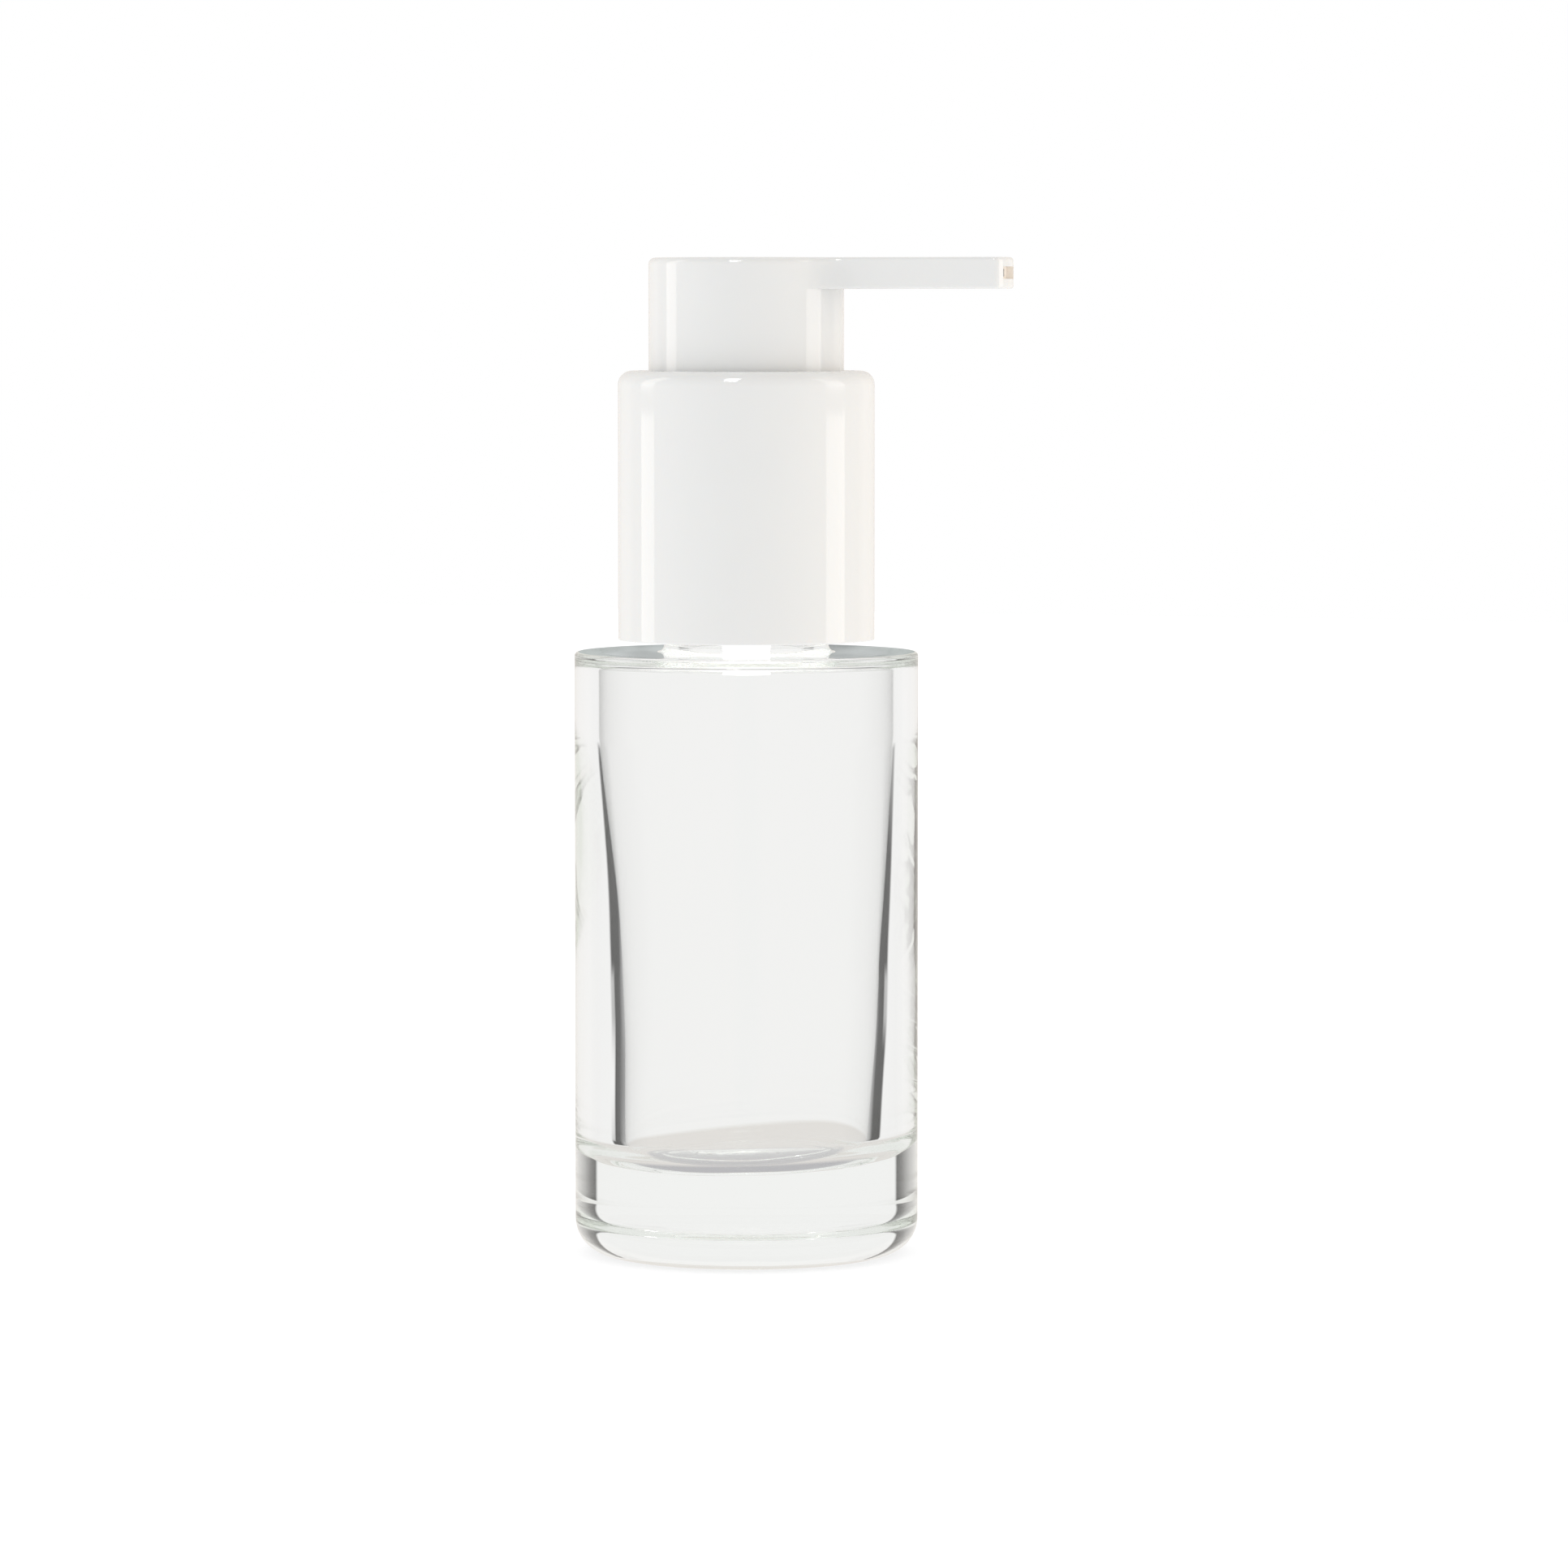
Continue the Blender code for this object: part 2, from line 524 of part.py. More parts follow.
def arm_mesh():
    """Flat spout, which runs on inside the head as a narrower duct to the socket."""
    side = arm_outline()
    duct = ARM_ROOT_HALF_WIDTH - 0.8 * MM
    inside = [Vector((0, duct)), Vector((HEAD_RADIUS - 2 * HEAD_WALL, duct)), side[0] * 0.93]
    upper = inside + side
    lower = [Vector((p.x, -p.y)) for p in reversed(upper[:-1])]
    bm = bmesh.new()
    ring = [bm.verts.new((p.x, p.y, HEAD_TOP_Z - ARM_HEIGHT)) for p in lower + upper]
    base = bm.faces.new(ring)
    top = bmesh.ops.extrude_face_region(bm, geom=[base])
    raised = [v for v in top["geom"] if isinstance(v, bmesh.types.BMVert)]
    bmesh.ops.translate(bm, verts=raised, vec=(0, 0, ARM_HEIGHT))
    bmesh.ops.recalc_face_normals(bm, faces=bm.faces)
    rims = [e for e in bm.edges if e.verts[0].co.z == e.verts[1].co.z]
    rims = [e for e in rims if min(v.co.x for v in e.verts) > HEAD_RADIUS]
    bmesh.ops.bevel(bm, geom=rims, offset=ARM_EDGE_ROUND, segments=2, profile=0.5, affect="EDGES",
                    clamp_overlap=True)
    mesh = bpy.data.meshes.new("spout_arm")
    bm.to_mesh(mesh)
    bm.free()
    return mesh


def actuator_head(parent, plastic):
    """Button with a hanging skirt, a flanged stem socket and the flat spout."""
    inner = HEAD_RADIUS - HEAD_WALL
    roof_z = HEAD_TOP_Z - HEAD_ROOF
    socket_bore = STEM_RADIUS + FACE_GAP
    flange_top_z = SOCKET_BOTTOM_Z + SOCKET_FLANGE_THICKNESS
    socket_top_z = HEAD_TOP_Z - ARM_HEIGHT - SOCKET_TOP_DROP
    corners = [
        (0, HEAD_TOP_Z), (0, socket_top_z), (socket_bore, socket_top_z), (socket_bore, SOCKET_BOTTOM_Z),
        (SOCKET_FLANGE_RADIUS, SOCKET_BOTTOM_Z), (SOCKET_FLANGE_RADIUS, flange_top_z),
        (SOCKET_RADIUS, flange_top_z + SOCKET_FLANGE_TAPER), (SOCKET_RADIUS, roof_z),
        (inner, roof_z, HEAD_EDGE_ROUND),
        (inner, SKIRT_BOTTOM_Z), (HEAD_RADIUS, SKIRT_BOTTOM_Z, 0.3 * MM),
        (HEAD_RADIUS, HEAD_TOP_Z, HEAD_EDGE_ROUND),
    ]
    head = add_object("actuator_head", turned("actuator_head", corners, SEGMENTS_OUTER), plastic, parent)
    combine(head, arm_mesh(), "UNION")
    outlet_low_z = socket_top_z - 0.5 * MM
    outlet = [
        (0, outlet_low_z), (STEM_BORE_RADIUS, outlet_low_z),
        (STEM_BORE_RADIUS, CHANNEL_Z), (0, CHANNEL_Z),
    ]
    combine(head, turned("outlet_bore", outlet, SEGMENTS_INNER), "DIFFERENCE")
    half_width = CHANNEL_WIDTH / 2
    half_height = CHANNEL_HEIGHT / 2
    channel = box_mesh("spout_channel", (-STEM_BORE_RADIUS, -half_width, CHANNEL_Z - half_height),
                       (ARM_REACH + 2 * MM, half_width, CHANNEL_Z + half_height))
    combine(head, channel, "DIFFERENCE")


def build():
    clear_scene()
    glass = make_material("clear_glass", (0.93, 0.96, 0.94), 0.02, transmission=1.0, ior=1.52)
    white = make_material("white_plastic", (0.86, 0.86, 0.85), 0.25)
    natural = make_material("natural_plastic", (0.80, 0.81, 0.80), 0.4)
    clear_tube = make_material("clear_tube_plastic", (0.90, 0.92, 0.92), 0.2, transmission=0.9, ior=1.4)
    rubber = make_material("gasket_foam", (0.78, 0.78, 0.76), 0.8)
    steel = make_material("spring_steel", (0.62, 0.62, 0.63), 0.3, metallic=1.0)

    bottle_body = add_axis("bottle_axis")
    pump_body = add_axis("pump_lift_axis", bottle_body)
    closure_body = add_axis("closure_turn_axis", pump_body)
    swivel_body = add_axis("head_swivel_axis", pump_body)
    head_body = add_axis("head_press_axis", swivel_body)
    piston_body = add_axis("piston_slip_axis", head_body)
    ball_body = add_axis("ball_lift_axis", pump_body)

    glass_bottle(bottle_body, glass)
    neck_gasket(pump_body, rubber)
    pump_housing(pump_body, natural)
    turret(pump_body, white)
    ball_retainer(pump_body, natural)
    dip_tube(pump_body, clear_tube)
    screw_closure(closure_body, white)
    collar_shell(closure_body, white)
    return_spring(swivel_body, steel)
    stem(head_body, natural)
    piston_rod(head_body, natural)
    actuator_head(head_body, white)
    piston(piston_body, natural)
    inlet_ball(ball_body, steel)


build()
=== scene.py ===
"""Foundation bottle: fine surfaces, materials, floor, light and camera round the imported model."""
import math

import bmesh
import bpy
from mathutils import Matrix, Vector


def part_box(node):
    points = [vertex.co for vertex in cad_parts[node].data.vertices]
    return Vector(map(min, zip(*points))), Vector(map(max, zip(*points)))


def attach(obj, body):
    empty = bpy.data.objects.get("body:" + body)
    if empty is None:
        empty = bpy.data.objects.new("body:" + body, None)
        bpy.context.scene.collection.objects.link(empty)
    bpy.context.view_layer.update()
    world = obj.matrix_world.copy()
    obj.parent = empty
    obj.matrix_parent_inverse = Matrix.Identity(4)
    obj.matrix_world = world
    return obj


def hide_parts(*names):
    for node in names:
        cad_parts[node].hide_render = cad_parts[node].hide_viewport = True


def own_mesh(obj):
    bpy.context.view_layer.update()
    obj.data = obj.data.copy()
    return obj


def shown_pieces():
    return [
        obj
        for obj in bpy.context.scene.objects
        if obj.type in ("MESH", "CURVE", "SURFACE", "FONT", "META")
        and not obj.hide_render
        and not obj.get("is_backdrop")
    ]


MM = 0.001

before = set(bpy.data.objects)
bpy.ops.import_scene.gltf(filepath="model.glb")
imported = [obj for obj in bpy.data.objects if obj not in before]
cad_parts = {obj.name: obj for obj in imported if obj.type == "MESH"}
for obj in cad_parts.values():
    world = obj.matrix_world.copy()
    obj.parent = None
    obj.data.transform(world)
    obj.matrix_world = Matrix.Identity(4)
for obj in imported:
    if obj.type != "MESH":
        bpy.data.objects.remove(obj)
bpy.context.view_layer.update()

# Places read from the frame
BOTTLE_LOW, BOTTLE_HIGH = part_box("glass_bottle")
COLLAR_LOW, COLLAR_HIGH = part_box("collar_shell")
HEAD_LOW, HEAD_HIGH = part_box("actuator_head")
CLOSURE_LOW, CLOSURE_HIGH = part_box("screw_closure")

# Glass bottle
BOTTLE_RADIUS = BOTTLE_HIGH[0]
NECK_TOP_Z = BOTTLE_HIGH[2]
SHOULDER_Z = NECK_TOP_Z - 13.8 * MM
NECK_ROOT_RADIUS = 8.85 * MM
BORE_RADIUS = 6.3 * MM
HEEL_ROUND = 3.8 * MM
SHOULDER_ROUND = 0.4 * MM
CAVITY_FLOOR_Z = 10.0 * MM
CAVITY_FLOOR_RADIUS = 13.2 * MM
CAVITY_CORNER_ROUND = 3.2 * MM
CAVITY_WAIST_Z = 31.0 * MM
CAVITY_WAIST_RADIUS = 13.95 * MM
CAVITY_FLARE_Z = 55.8 * MM
CAVITY_TOP_RADIUS = 16.0 * MM
CAVITY_TOP_Z = 64.1 * MM
CAVITY_VAULT_ROUND = 0.7 * MM
NECK_ROOT_FILLET = 0.8 * MM
LIP_ROUND = 0.4 * MM
THROAT_ROUND = 0.7 * MM
THREAD_PITCH = 3.175 * MM
THREAD_TURNS = 1.5
THREAD_DEPTH = 0.9 * MM
THREAD_TOP_DROP = 1.8 * MM  # from the lip to the ridge's upper end
THREAD_CREST_HALF = 0.45 * MM
THREAD_FLANK = 0.45 * MM
THREAD_RUNOUT = 0.06  # turns over which the ridge fades at each end
THREAD_ZONE = 2 * MM  # plain neck above the shoulder

# The cavity is not quite central, and its floor is uneven
DRIFT = 0.32 * MM
DRIFT_LOW_Z = 11 * MM
DRIFT_RISE = 15 * MM
DRIFT_HIGH_Z = 35 * MM
DRIFT_FALL = 21 * MM
FLARE_STRAIGHT_SHARE = 0.75
FLOOR_SLOPE_RIGHT = 0.025
FLOOR_SLOPE_AWAY = 0.02
FLOOR_TWIST = 0.03
FLOOR_TWIST_REACH = 12 * MM
FLOOR_DISH = 0.35 * MM
FLOOR_DISH_RADIUS = 11 * MM
FLOOR_RINGS = ((8.3 * MM, 0.16 * MM), (9.9 * MM, 0.12 * MM), (11.3 * MM, 0.10 * MM))  # radius, height
FLOOR_RING_WIDTH = 0.42 * MM

# Collar and button
COLLAR_RADIUS = COLLAR_HIGH[0]
COLLAR_BOTTOM_Z = COLLAR_LOW[2]
COLLAR_TOP_Z = COLLAR_HIGH[2]
COLLAR_MOUTH_RADIUS = 10.85 * MM
COLLAR_WALL = 1.2 * MM
COLLAR_EDGE_ROUND = 1.5 * MM
COLLAR_FOOT_ROUND = 0.15 * MM
COLLAR_MOUTH_ROUND = 0.35 * MM
COLLAR_ROOF = 1.5 * MM
COLLAR_LEDGE_GAP = 0.2 * MM
COLLAR_LEDGE_THICKNESS = 1.0 * MM
COLLAR_LEDGE_WIDTH = 1.3 * MM
HEAD_RADIUS = -HEAD_LOW[0]
HEAD_TOP_Z = HEAD_HIGH[2]
SKIRT_BOTTOM_Z = HEAD_LOW[2]
ARM_REACH = HEAD_HIGH[0]
ARM_HEIGHT = 3.35 * MM

# Edges sharper than this stay sharp in the shading
SHARP_ANGLE = math.radians(38)

# Camera, in the photograph's direction: the spout points right and a little forward
VIEW_AZIMUTH = math.radians(20)
CAMERA_DISTANCE = 750 * MM
CAMERA_HEIGHT = 102 * MM
AIM_HEIGHT = 50.7 * MM
AIM_RIGHT = 4.05 * MM
PICTURE_WIDTH = 169.1 * MM
SENSOR = 36.0


# ---------------------------------------------------------------- geometry helpers

def arc(centre, radius, start, end, steps):
    """Points (r, z) on an arc; angles in degrees, 0 along +r and 90 along +z."""
    points = []
    for k in range(steps + 1):
        angle = math.radians(start + (end - start) * k / steps)
        points.append((centre[0] + radius * math.cos(angle), centre[1] + radius * math.sin(angle)))
    return points


def smooth(t):
    t = min(1.0, max(0.0, t))
    return t * t * (3 - 2 * t)


def turned_mesh(name, outline, segments, shape=None):
    """Closed surface turned from an outline (r, z). shape(r, angle, z) may return a changed point."""
    bm = bmesh.new()
    rings = []
    for r, z in outline:
        if r < 1e-7:
            rings.append([bm.verts.new((0, 0, z))])
            continue
        ring = []
        for k in range(segments):
            angle = math.tau * k / segments
            point = shape(r, angle, z) if shape else (r * math.cos(angle), r * math.sin(angle), z)
            ring.append(bm.verts.new(point))
        rings.append(ring)
    for index, ring in enumerate(rings):
        following = rings[(index + 1) % len(rings)]
        if len(ring) == 1 and len(following) == 1:
            continue
        for k in range(segments):
            n = (k + 1) % segments
            corners = [ring[k % len(ring)], ring[n % len(ring)], following[n % len(following)],
                       following[k % len(following)]]
            unique = list(dict.fromkeys(corners))
            bm.faces.new(unique)
    bmesh.ops.remove_doubles(bm, verts=bm.verts, dist=1e-7)
    bmesh.ops.recalc_face_normals(bm, faces=bm.faces)
    mesh = bpy.data.meshes.new(name)
    bm.to_mesh(mesh)
    bm.free()
    return mesh


def finish_piece(name, mesh, body, material, slot, *nodes):
    """Puts a fine piece in place of CAD nodes, shaded smooth with weighted normals."""
    mesh.shade_smooth()
    mesh.set_sharp_from_angle(angle=SHARP_ANGLE)
    piece = bpy.data.objects.new(name, mesh)
    bpy.context.collection.objects.link(piece)
    piece.data.materials.clear()
    piece.data.materials.append(material)
    weighted = piece.modifiers.new("weighted normals", "WEIGHTED_NORMAL")
    weighted.keep_sharp = True
    weighted.weight = 100
    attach(piece, body)
    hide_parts(*nodes)
    return piece


# ---------------------------------------------------------------- material helpers

def new_material(name):
    material = bpy.data.materials.new(name)
    material.use_nodes = True
    nodes = material.node_tree.nodes
    return material, nodes, material.node_tree.links, nodes["Principled BSDF"]


def noise(nodes, links, scale, detail, source):
    texture = nodes.new("ShaderNodeTexNoise")
    texture.inputs["Scale"].default_value = scale
    texture.inputs["Detail"].default_value = detail
    links.new(source, texture.inputs["Vector"])
    return texture.outputs["Fac"]


def spread(nodes, links, value, low, high):
    """Maps 0..1 to low..high."""
    remap = nodes.new("ShaderNodeMapRange")
    remap.inputs["To Min"].default_value = low
    remap.inputs["To Max"].default_value = high
    links.new(value, remap.inputs["Value"])
    return remap.outputs["Result"]


def bump(nodes, links, shader, height, strength, distance):
    node = nodes.new("ShaderNodeBump")
    node.inputs["Strength"].default_value = strength
    node.inputs["Distance"].default_value = distance
    links.new(height, node.inputs["Height"])
    links.new(node.outputs["Normal"], shader.inputs["Normal"])


def object_space(nodes):
    return nodes.new("ShaderNodeTexCoord").outputs["Object"]


def glass_material():
    material, nodes, links, shader = new_material("clear_flint_glass")
    space = object_space(nodes)
    shader.inputs["Base Color"].default_value = (0.995, 0.995, 0.99, 1)
    shader.inputs["Transmission Weight"].default_value = 1.0
    shader.inputs["IOR"].default_value = 1.52
    haze = noise(nodes, links, 60, 3, space)
    links.new(spread(nodes, links, haze, 0.0, 0.006), shader.inputs["Roughness"])
    waves = noise(nodes, links, 45, 1, space)
    bump(nodes, links, shader, waves, 0.02, 0.4 * MM)
    volume = nodes.new("ShaderNodeVolumeAbsorption")
    volume.inputs["Color"].default_value = (0.90, 0.93, 0.89, 1)
    volume.inputs["Density"].default_value = 8
    links.new(volume.outputs["Volume"], nodes["Material Output"].inputs["Volume"])
    return material


def plastic_material(name, colour, roughness, mottled=0.012, subsurface=0.1, painted_glow=0.0):
    """Moulded plastic. Its last argument is a painted glow: an emission that brightens the surface as if
    lit, not a lamp.
    """
    material, nodes, links, shader = new_material(name)
    space = object_space(nodes)
    tone = nodes.new("ShaderNodeMix")
    tone.data_type = "RGBA"
    darker = [c * (1 - mottled) for c in colour]
    tone.inputs[6].default_value = (*darker, 1)
    tone.inputs[7].default_value = (*colour, 1)
    links.new(noise(nodes, links, 220, 3, space), tone.inputs[0])
    links.new(tone.outputs[2], shader.inputs["Base Color"])
    polish = noise(nodes, links, 400, 4, space)
    links.new(spread(nodes, links, polish, roughness * 0.8, roughness * 1.2), shader.inputs["Roughness"])
    grain = noise(nodes, links, 2600, 2, space)
    bump(nodes, links, shader, grain, 0.02, 0.005 * MM)
    shader.inputs["IOR"].default_value = 1.49
    shader.inputs["Subsurface Weight"].default_value = subsurface
    shader.inputs["Subsurface Radius"].default_value = (1.2, 1.0, 0.8)
    shader.inputs["Subsurface Scale"].default_value = 0.8 * MM
    # painted glow: emission in the plastic's own colour stands in for light reaching the surface
    shader.inputs["Emission Color"].default_value = (*colour, 1)
    shader.inputs["Emission Strength"].default_value = painted_glow
    return material


def frosted_material():
    """Unpigmented polypropylene: light passes through it, scattered. It also glows a little, a painted glow
    that brightens it where little light reaches.
    """
    material, nodes, links, shader = new_material("natural_polypropylene")
    space = object_space(nodes)
    shader.inputs["Base Color"].default_value = (0.94, 0.95, 0.94, 1)
    shader.inputs["Transmission Weight"].default_value = 0.9
    shader.inputs["IOR"].default_value = 1.12
    # painted glow: emission that stands in for light inside the pump
    shader.inputs["Emission Color"].default_value = (0.95, 0.96, 0.95, 1)
    shader.inputs["Emission Strength"].default_value = 0.25
    cloud = noise(nodes, links, 300, 3, space)
    links.new(spread(nodes, links, cloud, 0.25, 0.4), shader.inputs["Roughness"])
    bump(nodes, links, shader, cloud, 0.05, 0.02 * MM)
    return material


def clear_tube_material():
    material, nodes, links, shader = new_material("clear_tube")
    space = object_space(nodes)
    shader.inputs["Base Color"].default_value = (0.996, 0.998, 0.998, 1)
    shader.inputs["Transmission Weight"].default_value = 1.0
    shader.inputs["IOR"].default_value = 1.002
    streaks = noise(nodes, links, 150, 2, space)
    links.new(spread(nodes, links, streaks, 0.0, 0.02), shader.inputs["Roughness"])
    return material


def steel_material():
    material, nodes, links, shader = new_material("stainless_wire")
    space = object_space(nodes)
    shader.inputs["Base Color"].default_value = (0.62, 0.62, 0.63, 1)
    shader.inputs["Metallic"].default_value = 1.0
    drawn = noise(nodes, links, 900, 3, space)
    links.new(spread(nodes, links, drawn, 0.18, 0.34), shader.inputs["Roughness"])
    bump(nodes, links, shader, drawn, 0.1, 0.02 * MM)
    return material


# ---------------------------------------------------------------- the glass bottle

def neck_radius(radius, angle, z):
    """The neck's wall with its helical ridge, for points on the neck's outside."""
    top_z = NECK_TOP_Z - THREAD_TOP_DROP
    if radius < NECK_ROOT_RADIUS - 0.01 * MM or z < SHOULDER_Z + THREAD_ZONE:
        return radius
    best = 0.0
    for turn in range(3):
        turns = angle / math.tau + turn
        if turns > THREAD_TURNS:
            continue
        ridge_z = top_z - THREAD_PITCH * (THREAD_TURNS - turns)
        across = abs(z - ridge_z)
        flank = 1 - (across - THREAD_CREST_HALF) / THREAD_FLANK
        ends = min(turns, THREAD_TURNS - turns) / THREAD_RUNOUT
        best = max(best, smooth(flank) * smooth(ends))
    return radius + THREAD_DEPTH * best


def cavity_radius(z):
    """The cavity widens gently to its waist and then flares to the shoulder."""
    corner_z = CAVITY_FLOOR_Z + CAVITY_CORNER_ROUND
    taper = min(1.0, max(0.0, (z - corner_z) / (CAVITY_WAIST_Z - corner_z)))
    rise = min(1.0, max(0.0, (z - CAVITY_WAIST_Z) / (CAVITY_FLARE_Z - CAVITY_WAIST_Z)))
    flare = FLARE_STRAIGHT_SHARE * rise + (1 - FLARE_STRAIGHT_SHARE) * smooth(rise)
    return (CAVITY_FLOOR_RADIUS + taper * (CAVITY_WAIST_RADIUS - CAVITY_FLOOR_RADIUS)
            + flare * (CAVITY_TOP_RADIUS - CAVITY_WAIST_RADIUS))


def cavity_drift(z):
    """How far the cavity lies off the axis, to the right in the picture: the wall is uneven."""
    rise = smooth((z - DRIFT_LOW_Z) / DRIFT_RISE)
    fall = smooth((z - DRIFT_HIGH_Z) / DRIFT_FALL)
    return DRIFT * rise * (1 - fall)


def floor_lift(radius, angle, z):
    """The cavity's floor is neither level nor flat: a twisted slope, a dish and the rings of the mould."""
    near_floor = smooth((CAVITY_FLOOR_Z + 5 * MM - z) / (4 * MM))
    right = radius * math.cos(angle - VIEW_AZIMUTH)
    away = radius * math.sin(angle - VIEW_AZIMUTH)
    twist = FLOOR_TWIST * right * smooth(away / FLOOR_TWIST_REACH)
    slope = FLOOR_SLOPE_RIGHT * right + FLOOR_SLOPE_AWAY * away + twist
    dish = FLOOR_DISH * (smooth(radius / FLOOR_DISH_RADIUS) - 1)
    wander = 0.4 * MM * math.sin(2 * angle + 0.4) + 0.25 * MM * math.sin(5 * angle + 1.1)
    rings = 0.0
    for ring, height in FLOOR_RINGS:
        across = (radius - ring - wander) / FLOOR_RING_WIDTH
        rings += height * math.exp(-across * across)
    return near_floor * (slope + dish + rings)


def bottle_point(radius, angle, z, inner=False):
    radius = neck_radius(radius, angle, z)
    x = radius * math.cos(angle)
    y = radius * math.sin(angle)
    if inner:
        drift = cavity_drift(z)
        x += drift * math.cos(VIEW_AZIMUTH)
        y += drift * math.sin(VIEW_AZIMUTH)
        z += floor_lift(radius, angle, z)
    return (x, y, z)


def bottle_outline():
    """Outside from the base's centre up to the lip, then down the bore and the cavity to its floor."""
    points = [(0, 0)]
    heel = BOTTLE_RADIUS - HEEL_ROUND
    points += [(heel * k / 4, 0) for k in range(1, 4)]
    points += arc((heel, HEEL_ROUND), HEEL_ROUND, -90, 0, 20)
    points += [(BOTTLE_RADIUS, HEEL_ROUND + (SHOULDER_Z - HEEL_ROUND) * k / 12) for k in range(1, 12)]
    edge = SHOULDER_ROUND
    points += arc((BOTTLE_RADIUS - edge, SHOULDER_Z - edge), edge, 0, 90, 8)
    root = NECK_ROOT_FILLET
    points += arc((NECK_ROOT_RADIUS + root, SHOULDER_Z + root), root, 270, 180, 8)
    rows = 56
    low = SHOULDER_Z + 2.2 * MM
    high = NECK_TOP_Z - 0.5 * MM
    points += [(NECK_ROOT_RADIUS, low + (high - low) * k / rows) for k in range(rows)]
    lip = LIP_ROUND
    points += arc((NECK_ROOT_RADIUS - lip, NECK_TOP_Z - lip), lip, 0, 90, 6)
    points += arc((BORE_RADIUS + lip, NECK_TOP_Z - lip), lip, 90, 180, 6)
    outside = len(points)
    throat = THROAT_ROUND
    points += arc((BORE_RADIUS + throat, CAVITY_TOP_Z + throat), throat, 180, 270, 8)
    vault = CAVITY_VAULT_ROUND
    points += arc((CAVITY_TOP_RADIUS - vault, CAVITY_TOP_Z - vault), vault, 90, 0, 12)
    rows = 72
    top_z = CAVITY_TOP_Z - vault
    for k in range(1, rows):
        z = top_z + (CAVITY_FLOOR_Z + CAVITY_CORNER_ROUND - top_z) * k / rows
        points.append((cavity_radius(z), z))
    corner = CAVITY_CORNER_ROUND
    points += arc((CAVITY_FLOOR_RADIUS - corner, CAVITY_FLOOR_Z + corner), corner, 0, -90, 14)
    points += [((CAVITY_FLOOR_RADIUS - corner) * k / 30, CAVITY_FLOOR_Z) for k in range(29, -1, -1)]
    return points, outside


def make_bottle(material):
    outline, outside = bottle_outline()
    inner_points = set(outline[outside:])

    def shape(radius, angle, z):
        return bottle_point(radius, angle, z, inner=(radius, z) in inner_points)

    mesh = turned_mesh("bottle_glass", outline, 192, shape)
    piece = finish_piece("bottle_glass", mesh, "bottle", material, "clear_glass", "glass_bottle")
    piece.visible_diffuse = False


# ---------------------------------------------------------------- collar

def collar_outline():
    inner = COLLAR_RADIUS - COLLAR_WALL
    edge = COLLAR_EDGE_ROUND
    foot = COLLAR_FOOT_ROUND
    lip = COLLAR_MOUTH_ROUND
    roof_z = COLLAR_TOP_Z - COLLAR_ROOF
    ledge_z = CLOSURE_HIGH[2] + COLLAR_LEDGE_GAP
    ledge_top_z = ledge_z + COLLAR_LEDGE_THICKNESS
    ledge_radius = inner - COLLAR_LEDGE_WIDTH
    points = arc((inner + foot, COLLAR_BOTTOM_Z + foot), foot, 180, 270, 5)
    points += arc((COLLAR_RADIUS - foot, COLLAR_BOTTOM_Z + foot), foot, 270, 360, 5)
    points += arc((COLLAR_RADIUS - edge, COLLAR_TOP_Z - edge), edge, 0, 90, 14)
    points += arc((COLLAR_MOUTH_RADIUS + lip, COLLAR_TOP_Z - lip), lip, 90, 180, 6)
    points += [(COLLAR_MOUTH_RADIUS, roof_z), (inner, roof_z)]
    points += [(inner, ledge_top_z), (ledge_radius, ledge_top_z)]
    points += [(ledge_radius, ledge_z), (inner, ledge_z)]
    return points


def make_collar(material):
    mesh = turned_mesh("outer_collar", collar_outline(), 192)
    finish_piece("outer_collar", mesh, "closure", material, "white_plastic", "collar_shell")


# ---------------------------------------------------------------- button with its spout

ARM_ROOT_HALF_WIDTH = 3.8 * MM
ARM_TIP_HALF_WIDTH = 2.6 * MM
ARM_TIP_ROUND = 5.0 * MM
ARM_CORNER_ROUND = 0.7 * MM
ARM_BLEND_ROUND = 4.6 * MM
MOUTH_WIDTH = 3.5 * MM
MOUTH_HEIGHT = 1.3 * MM
MOUTH_DEPTH = 1.1 * MM
CHANNEL_WIDTH = 2.0 * MM
CHANNEL_HEIGHT = 0.8 * MM
BUTTON_EDGE_ROUND = 0.7  # in millimetres, as is the next
SPOUT_EDGE_ROUND = 0.4
SPOUT_UNDER_ROUND = 0.3 * MM
TOP_BAND = 0.25 * MM  # flat band inside the rounded top edge
BUTTON_WALL = 1.2 * MM
BUTTON_ROOF = 1.4 * MM
SKIRT_ROUND = 0.3 * MM
SOCKET_BORE_RADIUS = 2.7 * MM
SOCKET_RADIUS = 3.7 * MM
SOCKET_FLANGE_RADIUS = 5.2 * MM
SOCKET_BOTTOM_Z = 97.6 * MM
OUTLET_RADIUS = 1.4 * MM
CHANNEL_Z = HEAD_TOP_Z - 1.65 * MM


def polar(centre, radius, angle):
    return Vector((centre[0] + radius * math.cos(angle), centre[1] + radius * math.sin(angle)))


